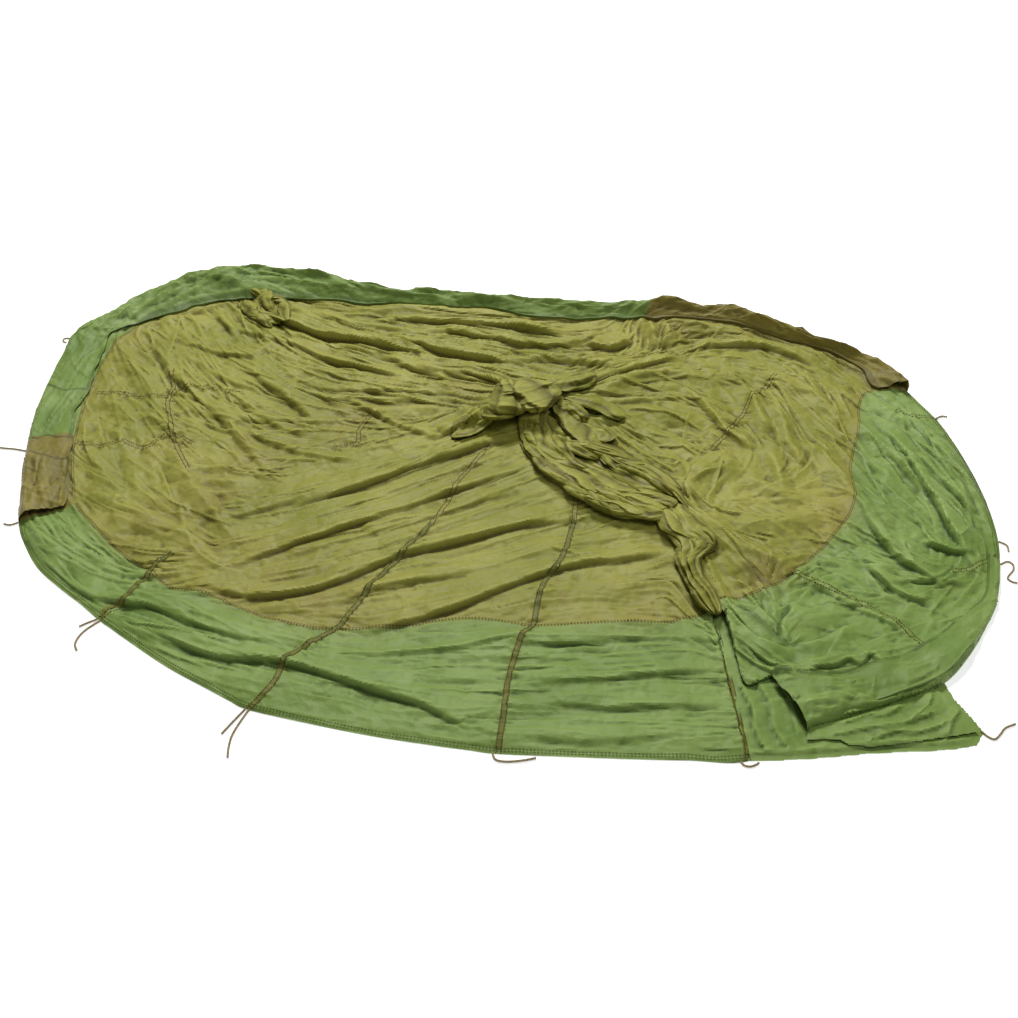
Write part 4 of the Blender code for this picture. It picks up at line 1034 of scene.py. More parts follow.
def noise_texture(tree, coords, scale, detail):
    """Noise over the piece's own coordinates."""
    tex = tree.nodes.new("ShaderNodeTexNoise")
    tex.inputs["Scale"].default_value = scale
    tex.inputs["Detail"].default_value = detail
    link(tree, coords, "Object", tex, "Vector")
    return tex


def add_gloss(tree, coords, shader):
    """Gloss that varies over the cloth."""
    rough = noise_texture(tree, coords, 22.0, 4.0)
    span = tree.nodes.new("ShaderNodeMapRange")
    span.inputs["To Min"].default_value = ROUGHNESS[0]
    span.inputs["To Max"].default_value = ROUGHNESS[1]
    link(tree, rough, "Fac", span, "Value")
    link(tree, span, "Result", shader, "Roughness")
    shader.inputs["Specular IOR Level"].default_value = 0.26
    shader.inputs["Sheen Weight"].default_value = 0.07
    shader.inputs["Sheen Roughness"].default_value = 0.45


def add_bump(tree, texture, out, strength, distance, last):
    """A bump made from a texture, on top of the bump before it."""
    bump = tree.nodes.new("ShaderNodeBump")
    bump.inputs["Strength"].default_value = strength
    bump.inputs["Distance"].default_value = distance
    link(tree, texture, out, bump, "Height")
    if last:
        link(tree, last, "Normal", bump, "Normal")
    return bump


def add_relief(tree, coords, shader):
    """Flat facets of the finest creases, then the weave."""
    warp = noise_texture(tree, coords, 9.0, 2.0)
    moved = tree.nodes.new("ShaderNodeVectorMath")
    moved.operation = "MULTIPLY_ADD"
    moved.inputs[1].default_value = (0.025, 0.025, 0.025)
    link(tree, warp, "Color", moved, 0)
    link(tree, coords, "Object", moved, 2)
    last = None
    for scale, distance in FACET_BUMPS:
        cells = tree.nodes.new("ShaderNodeTexVoronoi")
        cells.feature = "DISTANCE_TO_EDGE"
        cells.inputs["Scale"].default_value = scale
        link(tree, moved, "Vector", cells, "Vector")
        last = add_bump(tree, cells, "Distance", 1.0, distance, last)
    scale, strength, distance = WEAVE
    for axis in ("X", "Y"):
        wave = tree.nodes.new("ShaderNodeTexWave")
        wave.bands_direction = axis
        wave.inputs["Scale"].default_value = scale
        link(tree, coords, "Object", wave, "Vector")
        last = add_bump(tree, wave, "Fac", strength, distance, last)
    link(tree, last, "Normal", shader, "Normal")


def cloth_material(name, colours, seed):
    """Rumpled coated cloth: mottled colour, stains, painted highlights on crests and painted shade in
    hollows, uneven gloss, fine facets and a weave.
    """
    main, pale, deep, stain, crease = (colour + (1,) for colour in colours)
    mat = bpy.data.materials.new(name)
    mat.use_nodes = True
    tree = mat.node_tree
    shader = tree.nodes["Principled BSDF"]
    coords = tree.nodes.new("ShaderNodeTexCoord")
    colour = main
    for spots, (low, high, scale, detail, shift) in zip((pale, deep, stain), MOTTLING):
        colour = ramp_mix(tree, colour, spots, low, high, scale, detail, seed + shift)
    # Stains where the soil share is; painted highlights on the crests and painted shade in the hollows.
    lit = tuple(PAINTED_HIGHLIGHT_GAIN * c for c in pale[:3]) + (1,)
    for (mark, strength), other in zip(MARKS, (stain, lit, crease)):
        colour = by_attribute(tree, mark, colour, other, strength)
    tree.links.new(colour, shader.inputs["Base Color"])
    add_gloss(tree, coords, shader)
    add_relief(tree, coords, shader)
    return mat


def plain_material(name):
    """A matt material that wavers between two colours."""
    colour, dark, scale, roughness = PLAIN[name]
    mat = bpy.data.materials.new(name)
    mat.use_nodes = True
    tree = mat.node_tree
    shader = tree.nodes["Principled BSDF"]
    mixed = ramp_mix(tree, colour, dark, 0.40, 0.65, scale)
    tree.links.new(mixed, shader.inputs["Base Color"])
    shader.inputs["Roughness"].default_value = roughness
    shader.inputs["Specular IOR Level"].default_value = 0.2
    return mat


# ---- pieces -----------------------------------------------------------------------
SHARP_ANGLE = 25            # degrees between faces, from which an edge is sharp


def add_piece(name, points, faces, mat, slot, attributes=None):
    """A shaded piece of the part, in the part's frame, riding on the root body."""
    mesh = bpy.data.meshes.new(name)
    moved = np.array(points, float) - np.array([CENTRE[0], CENTRE[1], 0.0])
    mesh.from_pydata(moved.tolist(), [], faces.tolist())
    mesh.shade_smooth()
    mesh.set_sharp_from_angle(angle=math.radians(SHARP_ANGLE))
    for key, values in (attributes or {}).items():
        attr = mesh.attributes.new(key, "FLOAT", "POINT")
        attr.data.foreach_set("value", np.ascontiguousarray(values, np.float32))
    mesh.materials.append(mat)
    obj = bpy.data.objects.new(name, mesh)
    bpy.context.scene.collection.objects.link(obj)
    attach(obj, "root")
    return obj


# ---- suspension line ends ---------------------------------------------------------
def make_cords():
    """The cut ends of the suspension lines, lying on the floor round the hem."""
    mat = plain_material("line_cord")
    for name, route in CORDS.items():
        line = even(spline(route, 8), CORD_STEP)
        curve = bpy.data.curves.new(name + "_cord", "CURVE")
        curve.dimensions = "3D"
        curve.bevel_depth = CORD / 2
        curve.bevel_resolution = 3
        curve.use_fill_caps = True
        path = curve.splines.new("POLY")
        path.points.add(len(line) - 1)
        for point, (x, y) in zip(path.points, line):
            point.co = (*place(x, y, CORD_REST), 1)
        curve.materials.append(mat)
        obj = bpy.data.objects.new(name + "_cord", curve)
        bpy.context.scene.collection.objects.link(obj)
        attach(obj, "root")
        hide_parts(name)
        place(*route[0], CORD_REST)


# ---- cloth laid over the lying cloth ----------------------------------------------
def seen(points, at):
    """Places read off the view as if at one height, moved along the camera's rays to their own height."""
    share = (EYE[2] - points[..., 2]) / (EYE[2] - at)
    out = points.copy()
    out[..., :2] = EYE[:2] + (points[..., :2] - EYE[:2]) * share[..., None]
    return out


def sampled(field, xy):
    """Value of a field of the regular grid at places of the floor plan."""
    u = np.clip((xy[..., 0] - GRID_X[0]) / STEP, 0, field.shape[1] - 1.001)
    v = np.clip((xy[..., 1] - GRID_Y[0]) / STEP, 0, field.shape[0] - 1.001)
    i, j = u.astype(int), v.astype(int)
    fu, fv = u - i, v - j
    low = field[j, i] * (1 - fu) + field[j, i + 1] * fu
    high = field[j + 1, i] * (1 - fu) + field[j + 1, i + 1] * fu
    return low * (1 - fv) + high * fv


def ground(points, mask):
    """Function that gives the top of the lying cloth near a place in the plan."""
    top = np.where(mask, points[..., 2], 0.0)
    wide = np.pad(top, 2, mode="edge")
    rows = [wide[a:a + top.shape[0], b:b + top.shape[1]] for a in range(5) for b in range(5)]
    high = np.max(rows, axis=0)
    high = blur(high[None], np.ones_like(high), 3)[0]

    def at(x, y):
        return sampled(high, np.stack([x, y], axis=-1))
    return at


def ridges(u, v, seed):
    """Thin crests of a two-step noise, 0 to 1."""
    both = noise(u, v, seed) + 0.5 * noise(2.1 * u + 5.3, 2.1 * v + 3.7, seed + 1)
    return 1 - np.minimum(np.abs(both) * 2.0, 1)


def grid_faces(rows, cols):
    """Two triangles for each cell of a grid of points."""
    ids = np.arange(rows * cols).reshape(rows, cols)
    a, b, c, d = ids[:-1, :-1], ids[:-1, 1:], ids[1:, 1:], ids[1:, :-1]
    one = np.stack([a, b, c], -1).reshape(-1, 3)
    two = np.stack([a, c, d], -1).reshape(-1, 3)
    return np.vstack([one, two])


def upward(points, faces):
    """Faces turned so that most of them look up."""
    p = points[faces]
    up = np.cross(p[:, 1] - p[:, 0], p[:, 2] - p[:, 0])[:, 2].sum()
    return faces if up > 0 else faces[:, ::-1]


BAND_STEP = 0.0036          # spacing of points along bands and rolls
BAND_LOWEST = 0.0010        # lowest a band lies above the floor
BAND_CLEAR = 0.0045         # how far its top stands above the cloth under it
BAND_PUFF = 0.020           # height from which a band's creases grow no more
TUCKED_STEP = 0.004         # spacing of the tucked panel's grid

# Sections of a turned-back edge, flat and rolled: share of the depth from the outer fold, of the height.
TURN_SECTION = [(.10, .00), (.02, .04), (.00, .25), (.03, .60), (.12, .88), (.30, 1.0), (.52, .96),
                (.72, .84), (.90, .70), (1.0, .58), (1.015, .48), (.985, .40), (.93, .38)]
ROLL_SECTION = [(.10, .00), (.02, .04), (.00, .25), (.02, .60), (.07, .88), (.16, 1.0), (.34, .93),
                (.55, .72), (.78, .50), (1.0, .32), (1.02, .26), (.99, .20), (.94, .18)]
# Sewn lines that show on the turned-back band.
BAND_SEAMS = [
    [(-1.083, .439), (-1.061, .424), (-1.030, .412), (-1.001, .424), (-.975, .416)],
    [(-1.066, .232), (-1.044, .226), (-1.030, .238), (-1.010, .233), (-.991, .222), (-.959, .226)],
    [(-1.048, .172), (-1.010, .160), (-.970, .150), (-.950, .158)],
]


def relief_marks(z, hollow, window):
    """Shares of painted shade in the hollows and of painted highlight on the crests of a piece laid out as a
    grid of heights.
    """
    rise = z - blur(z[None], np.ones_like(z), window)[0]
    hollow = np.maximum(hollow, 0.9 * np.clip(-rise / 0.0020 - 0.1, 0, 1))
    return hollow, np.clip(rise / 0.0018 - 0.2, 0, 1)


def band_rows(names):
    """Even rows along those panels: outer point, crown point, depth and height; and the panels' ends."""
    rims = panel_rims()[1]
    rows, cuts = [], [0]
    for name in names:
        crown, outer, sizes = rims[name]
        part = even(np.hstack([outer, crown, sizes]), BAND_STEP)
        rows.append(part if not rows else part[1:])
        cuts.append(sum(map(len, rows)) - 1)
    rows = np.vstack(rows)
    return rows[:, :2], rows[:, 2:4], rows[:, 4:6], cuts


def turned_bands(names, seed, top, relief):
    """The strip of skirt turned back over the canopy along those panels, cut at their seams."""
    outer, crown, sizes, cuts = band_rows(names)
    way = crown - outer
    way /= np.linalg.norm(way, axis=1)[:, None]
    section = spline(TURN_SECTION, 6)
    arched = spline(ROLL_SECTION, 6)
    run = np.arange(len(outer)) * BAND_STEP
    u, v = np.meshgrid(run, np.arange(len(section)), indexing="ij")
    steep = np.clip((sizes[:, 1] / sizes[:, 0] - 0.25) / 0.35, 0, 1)[:, None]
    across, rise = (section[None, :, k] * (1 - steep) + arched[None, :, k] * steep for k in (0, 1))
    wave = noise(u / 0.09, 0 * u + 2.5, seed) + 0.5 * noise(u / 0.03, 0 * u + 7.5, seed)
    depth = (1 + 0.45 * steep) * sizes[:, 0][:, None] * across * (1 + 0.09 * wave * (across > 0.5))
    plan = outer[:, None, :] + way[:, None, :] * depth[..., None]
    tall = sizes[:, 1][:, None]
    z = tall * rise * (1 + 0.16 * noise(u / 0.08, v / 6.0, seed + 3))
    slant = u / 0.085 + depth / 0.030 + 0.5 * noise(u / 0.07, v / 7, seed + 5)
    crest = ridges(slant, depth / 0.035, seed + 7)
    cross = ridges(u / 0.036 - depth / 0.05, depth / 0.07, seed + 9)
    live = np.clip(rise * 1.6 - 0.25, 0, 1)
    puff = np.minimum(tall, BAND_PUFF)
    z = z + live * (puff * (0.16 * crest + 0.10 * cross) + (1 + 0.3 * steep) * sampled(relief, plan))
    lie = top(plan[..., 0], plan[..., 1])
    z = np.where(rise > 0.3, np.maximum(z, lie * (across > 0.1) + BAND_CLEAR), z)
    z = np.where(rise < 0.05, BAND_LOWEST, np.maximum(z, BAND_LOWEST))
    # Painted shade in the band's creases and under its inner edge.
    hollow = np.clip(0.6 * (0.25 - crest) * live + 0.6 * (rise < .45) * (across > .5), 0, 1)
    # The band's sewn seams are darkened through the same share.
    for line in BAND_SEAMS:
        near = nearest_on(plan.reshape(-1, 2), spline(line, 4))[0].reshape(hollow.shape)
        hollow = np.maximum(hollow, 0.9 * np.exp(-(near / 0.0035) ** 2))
    hollow, crest = relief_marks(z, hollow, 2)
    return cut_band(names, cuts, np.concatenate([plan, z[..., None]], axis=2), hollow, crest)


def cut_band(names, cuts, points, hollow, crest):
    """One piece a panel, from a band's grid: points, faces, and the shares of painted shade and painted
    highlight.
    """
    out = {}
    for name, first, last in zip(names, cuts[:-1], cuts[1:]):
        piece = points[first:last + 1]
        faces = upward(piece.reshape(-1, 3), grid_faces(*piece.shape[:2]))
        out[name] = (piece.reshape(-1, 3), faces, hollow[first:last + 1].ravel(),
                     crest[first:last + 1].ravel())
    return out


def tucked_sheet(facets, outline, base, under, edge, hem):
    """One layer of the panel below the front flap: a wrinkled sheet, kept low where the flap covers it."""
    outline = np.array(outline)
    low, high = outline.min(axis=0) - TUCKED_STEP, outline.max(axis=0) + TUCKED_STEP
    gx, gy = np.meshgrid(np.arange(low[0], high[0], TUCKED_STEP), np.arange(low[1], high[1], TUCKED_STEP))
    flat = np.stack([gx, gy], axis=-1).reshape(-1, 2)
    faces = grid_faces(*gx.shape)
    faces = faces[inside(flat[faces].mean(axis=1), outline)]
    out = np.where(~inside(flat, outline))[0]
    closed = np.vstack([outline, outline[:1]])
    flat[out] = nearest_on(flat[out], closed)[3]
    u = np.clip(((flat[:, 0] - GRID_X[0]) / STEP).round().astype(int), 0, facets.shape[1] - 1)
    v = np.clip(((flat[:, 1] - GRID_Y[0]) / STEP).round().astype(int), 0, facets.shape[0] - 1)
    z = base + 0.95 * np.clip(facets[v, u], 0, 0.02)
    for line, reach, height in TUCKED_LAYERS:
        best, side, _, _, _ = nearest_on(flat, spline(line, 5))
        z += height * np.clip(1 - np.where(side > 0, best / reach, best / 0.004), 0, 1)
    covered = (flat[:, 1] > -0.575 + 0.52 * (flat[:, 0] - 0.505)) & (flat[:, 0] > 0.50)
    z = np.where(covered, np.minimum(z, under), z)
    z = np.minimum(z, edge + 0.6 * np.maximum(nearest_on(flat, closed)[0] - hem, 0))
    z = np.minimum(z, edge + 0.2 * np.maximum(-0.29 - flat[:, 1], 0))
    used = np.unique(faces)
    index = np.full(len(flat), -1)
    index[used] = np.arange(len(used))
    points = np.column_stack([flat, z])[used]
    hollow, crest = relief_marks(z.reshape(gx.shape), np.zeros(gx.shape), 2)
    return points, upward(points, index[faces]), hollow.ravel()[used], crest.ravel()[used]


# Outlines of the tucked panel: all of it, and the layer on top.
TUCKED_SEEN = [(.389, -.652), (.450, -.651), (.500, -.648), (.550, -.643), (.600, -.637), (.650, -.634),
               (.700, -.632), (.745, -.628), (.786, -.620), (.807, -.591), (.792, -.550), (.778, -.518),
               (.765, -.455), (.785, -.400), (.750, -.300), (.660, -.225), (.560, -.200), (.450, -.190),
               (.352, -.210), (.355, -.310), (.367, -.400), (.374, -.500), (.381, -.580)]
TUCKED_TOP = [(.499, -.612), (.530, -.610), (.556, -.611), (.568, -.622), (.606, -.627), (.655, -.621),
              (.690, -.615), (.725, -.608), (.760, -.602), (.795, -.594), (.787, -.566), (.770, -.518),
              (.735, -.490), (.650, -.535), (.560, -.570), (.510, -.585)]
# Its two layers: outline, height, height below the flap, height at the edge, width of the flat hem.
TUCKED_SHEETS = ((TUCKED_SEEN, 0.0014, 0.0040, 0.0009, 0.011), (TUCKED_TOP, 0.0062, 0.0056, 0.0062, 0.0))
# Folded edges on the tucked panel: line, reach on the gentle side, height.
TUCKED_LAYERS = [
    ([(.410, -.640), (.500, -.632), (.570, -.628), (.650, -.624), (.760, -.618)], .016, .0030),
    ([(.410, -.500), (.420, -.540), (.418, -.580), (.425, -.620)], .022, .0050),
    ([(.440, -.485), (.455, -.530), (.450, -.575), (.462, -.615)], .020, .0040),
    ([(.480, -.480), (.490, -.530), (.488, -.590)], .016, .0035),
    ([(.560, -.600), (.600, -.590), (.660, -.580), (.720, -.560)], .024, .0040),
    ([(.615, -.612), (.650, -.596), (.690, -.596), (.740, -.580)], .020, .0045),
    ([(.700, -.560), (.722, -.540), (.735, -.520)], .018, .0045),
    ([(.742, -.600), (.756, -.572), (.772, -.552)], .018, .0045),
    ([(.580, -.575), (.612, -.560), (.640, -.562), (.668, -.548)], .018, .0040),
]


def on_cloth(points, xy):
    """Where places of the floor plan lie on the creased cloth, and the way its surface faces."""
    u = np.clip((xy[:, 0] - GRID_X[0]) / STEP, 0, points.shape[1] - 2.001)
    v = np.clip((xy[:, 1] - GRID_Y[0]) / STEP, 0, points.shape[0] - 2.001)
    i, j = u.astype(int), v.astype(int)
    fu, fv = (u - i)[:, None], (v - j)[:, None]
    a, b, c, d = points[j, i], points[j, i + 1], points[j + 1, i], points[j + 1, i + 1]
    spot = (a * (1 - fu) + b * fu) * (1 - fv) + (c * (1 - fu) + d * fu) * fv
    normal = np.cross(b - a + d - c, c - a + d - b)
    return spot, normal / (np.linalg.norm(normal, axis=1)[:, None] + 1e-12)


def seam_ribbon(points, route, half=0.006, lift=0.0010):
    """A sewn tape that follows the creased cloth along a route."""
    line = even(spline(route, 6), STEP)
    side = directions(line)[1]
    rows = []
    for share in (-1.0, -0.92, 0.0, 0.92, 1.0):
        spot, normal = on_cloth(points, line + side * half * share)
        rows.append(spot + normal * (lift if abs(share) < 1 else 0.0001))
    grid = np.stack(rows, axis=1)
    return grid.reshape(-1, 3), upward(grid.reshape(-1, 3), grid_faces(*grid.shape[:2]))


def stitch_rows(points, route, offsets, lift, pitch=0.0058, size=0.0040, thick=0.0006):
    """Rows of short stitches beside a route, each a small raised dash."""
    line = even(spline(route, 6), pitch)
    way, side = directions(line)
    out, faces, count = [], [], 0
    for offset in offsets:
        middle = line + side * offset
        corners = []
        for a, b in ((-1, -1), (1, -1), (1, 1), (-1, 1)):
            spot, normal = on_cloth(points, middle + way * size / 2 * a + side * thick * b)
            corners.append(spot + normal * lift)
        spot, normal = on_cloth(points, middle)
        corners.append(spot + normal * (lift + 0.0007))
        grid = np.stack(corners, axis=1)
        out.append(grid.reshape(-1, 3))
        base = count + 5 * np.arange(len(grid))[:, None]
        faces.append(np.vstack([base + np.array(f) for f in ((0, 1, 4), (1, 2, 4), (2, 3, 4), (3, 0, 4))]))
        count += 5 * len(grid)
    return np.vstack(out), np.vstack(faces)


def joined(parts):
    """Several (points, faces) as one."""
    points, faces, count = [], [], 0
    for p, f in parts:
        points.append(p)
        faces.append(f + count)
        count += len(p)
    return np.vstack(points), np.vstack(faces)


def seam_puckers():
    """Short creases across the sewn seams, in the fold tables' form."""
    rng = np.random.default_rng(61)
    rows = []
    for route in SEAMS.values():
        line = even(spline(route, 5), 0.013)
        way, side = directions(line)
        for at, along, off in zip(line, way, side):
            near, far = rng.uniform(0.006, 0.030, 2)
            slant = rng.normal(0, 0.35)
            turn = off + along * slant
            rows.append((rng.uniform(.0008, .0024), rng.uniform(.004, .007), rng.uniform(.003, .006),
                         [tuple(at - turn * near), tuple(at), tuple(at + turn * far)]))
    return rows


# Gathered bunches over the crown, read at AT: left edge, right edge, height, pleats across, their
# depth, how much they wind, lift at the middle, how far the crest leans left.
AT = 0.04
ROLL_FACETS = 0.9
ROLLS = [
    ([(.118, .160), (.160, .120), (.200, .084), (.250, .048), (.305, .008), (.348, -.045)],
     [(.170, .215), (.222, .176), (.275, .130), (.320, .085), (.352, .035), (.372, -.040)],
     .014, 3.2, .009, 0.5, .000, 0.75),
    ([(.036, .300), (.025, .235), (.032, .165), (.056, .110), (.090, .050), (.138, .000), (.195, -.048),
      (.238, -.072), (.282, -.060)],
     [(.082, .300), (.092, .230), (.108, .170), (.145, .118), (.200, .078), (.260, .036), (.315, .004),
      (.348, -.022), (.352, -.050)],
     .016, 5.0, .010, 1.3, .000, 0),
    ([(.284, -.036), (.298, -.070), (.304, -.108), (.330, -.138), (.332, -.200), (.340, -.260),
      (.354, -.320), (.374, -.352)],
     [(.356, -.034), (.378, -.075), (.400, -.120), (.402, -.160), (.368, -.196), (.366, -.250),
      (.380, -.300), (.388, -.350)],
     .015, 4.4, .010, 0.9, .000, 0),
    ([(.096, .345), (.104, .290), (.118, .240), (.142, .185), (.176, .130)],
     [(.124, .345), (.150, .300), (.180, .255), (.205, .205), (.224, .160)],
     .014, 2.0, .007, 0.6, .000, 0.5),
    ([(.120, .345), (.160, .322), (.200, .290), (.235, .245)],
     [(.140, .360), (.190, .345), (.238, .318), (.275, .280)],
     .010, 2.0, .006, 0.3, .000, 0.5),
    ([(-.130, .198), (-.105, .250), (-.078, .290), (-.046, .322)],
     [(-.120, .190), (-.078, .210), (-.046, .246), (-.020, .285)],
     .012, 2.2, .007, 0.3, .000, 0),
    ([(-.070, .332), (-.035, .356), (.005, .372)], [(-.072, .262), (-.022, .262), (.034, .282)],
     .024, 3.0, .008, 0.4, .008, 0),
    ([(.088, .396), (.130, .424), (.168, .444), (.206, .456)],
     [(.108, .366), (.138, .374), (.170, .386), (.204, .408)],
     .012, 2.2, .007, 0.2, .002, 0),
    ([(-.010, .424), (-.028, .375), (-.040, .325), (-.048, .275)],
     [(.004, .424), (.022, .372), (.036, .322), (.034, .272)],
     .024, 2.2, .009, 0.4, .018, 0),
    ([(.002, .420), (.006, .375), (.024, .330), (.054, .280)],
     [(.072, .424), (.112, .394), (.112, .346), (.066, .280)],
     .026, 2.4, .009, 0.7, .022, 0),
]
# Loose strands over the bunches: centre line with half width and height below, count, length, width.
STRANDS = [
    ([(.060, .300, .022, .026), (.058, .232, .030, .030), (.070, .168, .034, .030),
      (.101, .114, .040, .030),
      (.146, .064, .050, .030), (.198, .018, .058, .030), (.252, -.020, .060, .028),
      (.292, -.044, .050, .026),
      (.322, -.058, .030, .022)], 22, 500, (.11, .26), (.009, .016)),
    ([(.318, -.040, .030, .022), (.338, -.075, .036, .022), (.350, -.120, .040, .022),
      (.366, -.155, .034, .020),
      (.350, -.200, .018, .018), (.352, -.255, .014, .016), (.366, -.325, .014, .012)],
     9, 560, (.09, .18), (.008, .015)),
    ([(.130, .180, .020, .018), (.180, .140, .026, .020), (.240, .095, .034, .020),
      (.300, .050, .034, .020),
      (.350, .005, .026, .020)], 9, 600, (.10, .22), (.008, .015)),
    ([(-.118, .205, .010, .014), (-.080, .250, .022, .020), (-.050, .290, .028, .024),
      (-.010, .315, .030, .030)],
     7, 640, (.05, .10), (.009, .018)),
    ([(.000, .400, .016, .036), (.010, .350, .034, .046), (.040, .340, .044, .050),
      (.070, .370, .040, .046),
      (.110, .385, .028, .030)], 16, 680, (.04, .09), (.008, .018)),
    ([(.115, .335, .020, .018), (.150, .280, .030, .018), (.185, .225, .034, .018),
      (.215, .180, .020, .012)],
     6, 720, (.06, .13), (.010, .018)),
    ([(-.652, .868, .034, .012), (-.636, .800, .044, .010), (-.606, .730, .046, .006),
      (-.560, .668, .034, .003)],
     10, 760, (.09, .18), (.009, .016)),
]


def evenly(curve, count):
    """That many even places along a curve of the floor plan."""
    run = run_along(curve)
    at = np.linspace(0, run[-1], count)
    return np.stack([np.interp(at, run, curve[:, 0]), np.interp(at, run, curve[:, 1])], axis=1)


def pleated_roll(edges, seed, top, relief, cols):
    """A bunch of cloth between two edge lines: an arched section with overlapping pleats along it."""
    left, right, height, pleats, depth, wind, lift, skew = edges
    length = np.linalg.norm(np.diff(np.array(left), axis=0), axis=1).sum()
    rows = max(12, int(length / BAND_STEP))
    one, two = (evenly(spline(line, 8), rows) for line in (left, right))
    s, t = np.meshgrid(np.linspace(0, 1, rows), np.linspace(-0.05, 1.05, cols), indexing="ij")
    middle, half = (one + two) / 2, (two - one) / 2
    wide = np.linalg.norm(half, axis=1)[:, None]
    way = half / (wide + 1e-9)
    along = s * length
    far = min(0.12, 0.6 * length) if 0 < skew < 0.6 else min(0.035, 0.35 * length)
    ends = np.clip(np.minimum(along / min(0.035, 0.35 * length), (length - along) / far), 0, 1)
    ends = np.sqrt(ends * (2 - ends))
    bend = np.clip(t, 0, 1) ** (1 / (1 + skew))
    arc = np.pi * (1 - bend) + (t - np.clip(t, 0, 1)) * -3.0
    v = t * pleats + wind * s + 0.45 * noise(along / 0.045, t * 2.0, seed)
    cell = np.floor(v)
    part = v - cell
    keen = np.where(part < 0.72, (part / 0.72) ** 0.8, 1 - (np.maximum(part - 0.72, 0) / 0.28) ** 0.9)
    vary = 0.62 + 0.38 * noise(cell * 1.7 + 0.5, along / 0.05 + cell, seed + 2)
    crimp = ridges(along / 0.022 + 0.8 * noise(along / 0.03, t * 3, seed + 6), v * 0.9, seed + 3)
    laid = middle[:, None, :] + way[:, None, :] * (wide * (2 * bend - 1))[..., None]
    flake = sampled(relief, laid)
    bump = ends * (0.8 * depth * (vary * keen + 0.15 * crimp) + ROLL_FACETS * flake)
    size = 1 + 0.22 * noise(along / 0.06, 0 * s + 3.3, seed + 4)
    taper = 0.30 + 0.70 * ends
    offset = taper * (wide * (2 * bend - 1) if skew > 0.6 else wide * -np.cos(arc)) - bump * np.cos(arc)
    arch = np.maximum(np.sin(arc), -0.15)
    tent = np.where(arch > 0, np.minimum(t / 0.62, (1 - t) / 0.38), arch)
    flat_top = np.where(arch > 0, np.minimum(1, 3.0 * np.minimum(t, 1 - t) + 0.25 * arch), arch)
    up = height * size * ends * (tent if cols < 40 else flat_top) + bump * np.maximum(np.sin(arc), 0.2)
    wander = 0.10 * wide * noise(along / 0.04, 0 * s + 9.1, seed + 11)
    plan = middle[:, None, :] + way[:, None, :] * (offset + wander)[..., None]
    spots = seen(np.concatenate([plan, np.full(plan.shape[:2] + (1,), 0.02)], axis=2), AT)
    base = top(spots[..., 0], spots[..., 1])
    rest = base.mean(axis=1)[:, None] * 0.30 + base * 0.70
    z = np.maximum(rest + up + (lift + 0.003) * ends - 0.0035, 0.0012)
    points = seen(np.concatenate([plan, z[..., None]], axis=2), AT)
    faces = upward(points.reshape(-1, 3), grid_faces(rows, cols))
    # Painted shade between the pleats, under the roll and in the crimps.
    under = np.clip(1 - np.sin(np.clip(arc, 0, np.pi)) * 1.8, 0, 1)
    hollow = np.clip(0.95 * (1 - keen) ** 2 + 0.55 * under + 0.25 * (0.4 - crimp), 0, 1)
    hollow, crest = relief_marks(z, hollow, 3)
    return points.reshape(-1, 3), faces, hollow.ravel(), crest.ravel()


def loose_strands(bunch):
    """Short pleated strands scattered over a bunch, in the form of ROLLS rows."""
    path, count, seed, length, width = bunch
    rng = np.random.default_rng(seed)
    path = spline(path, 12)
    run = run_along(path)
    rows = []
    for _ in range(count):
        size = rng.uniform(*length)
        start = rng.uniform(-0.3 * size, run[-1] - 0.7 * size)
        at = np.clip(np.linspace(start, start + size, 6), 0, run[-1])
        if at[-1] - at[0] < 0.025:
            continue
        x, y, half, base = (np.interp(at, run, path[:, k]) for k in range(4))
        way = np.stack([np.gradient(x), np.gradient(y)], axis=1)
        way /= np.linalg.norm(way, axis=1)[:, None] + 1e-9
        across = np.stack([way[:, 1], -way[:, 0]], axis=1)
        share = np.clip(rng.uniform(-0.8, 0.8) + np.linspace(-1, 1, 6) * rng.normal(0, 0.42), -0.95, 0.95)
        centre = np.stack([x, y], axis=1) + across * (share * half)[:, None]
        wide = rng.uniform(*width) * np.array([0.35, 0.85, 1.1, 1.0, 0.8, 0.3])
        lift = base * np.sqrt(1 - 0.9 * share ** 2)
        one, two = centre - across * wide[:, None], centre + across * wide[:, None]
        rows.append((one.tolist(), two.tolist(), rng.uniform(.006, .012), rng.uniform(1.0, 1.8),
                     rng.uniform(.003, .006), rng.normal(0, 0.5), lift.mean() * 0.50, rng.choice([0, 0.5])))
    return rows


def all_rolls(top, relief):
    """The gathered rolls and the knot's lobes, as one set of points and faces."""
    points, faces, hollow, crest, count = [], [], [], [], 0
    rolls = [(row, 60) for row in ROLLS]
    for bunch in STRANDS:
        rolls += [(row, 24) for row in loose_strands(bunch)]
    for k, (edges, cols) in enumerate(rolls):
        p, f, h, c = pleated_roll(edges, 300 + 13 * k, top, relief, cols)
        points.append(p)
        faces.append(f + count)
        hollow.append(h)
        crest.append(c)
        count += len(p)
    return np.vstack(points), np.vstack(faces), np.concatenate(hollow), np.concatenate(crest)


# ---- the lying cloth --------------------------------------------------------------
# Fold tables that make up the large form, and the share of their height that it takes.
FOLD_SHARES = ((FAN_FOLDS, .55), (LEFT_FOLDS, .58), (BACK_FOLDS, .72), (RIGHT_FOLDS, .80), (GATHER_BASE, 0.6),
               (SKIRT_FOLDS, .52), (FINE_FOLDS, .75), (FLAP_FOLDS, .65), (RIM_FOLDS, .9))
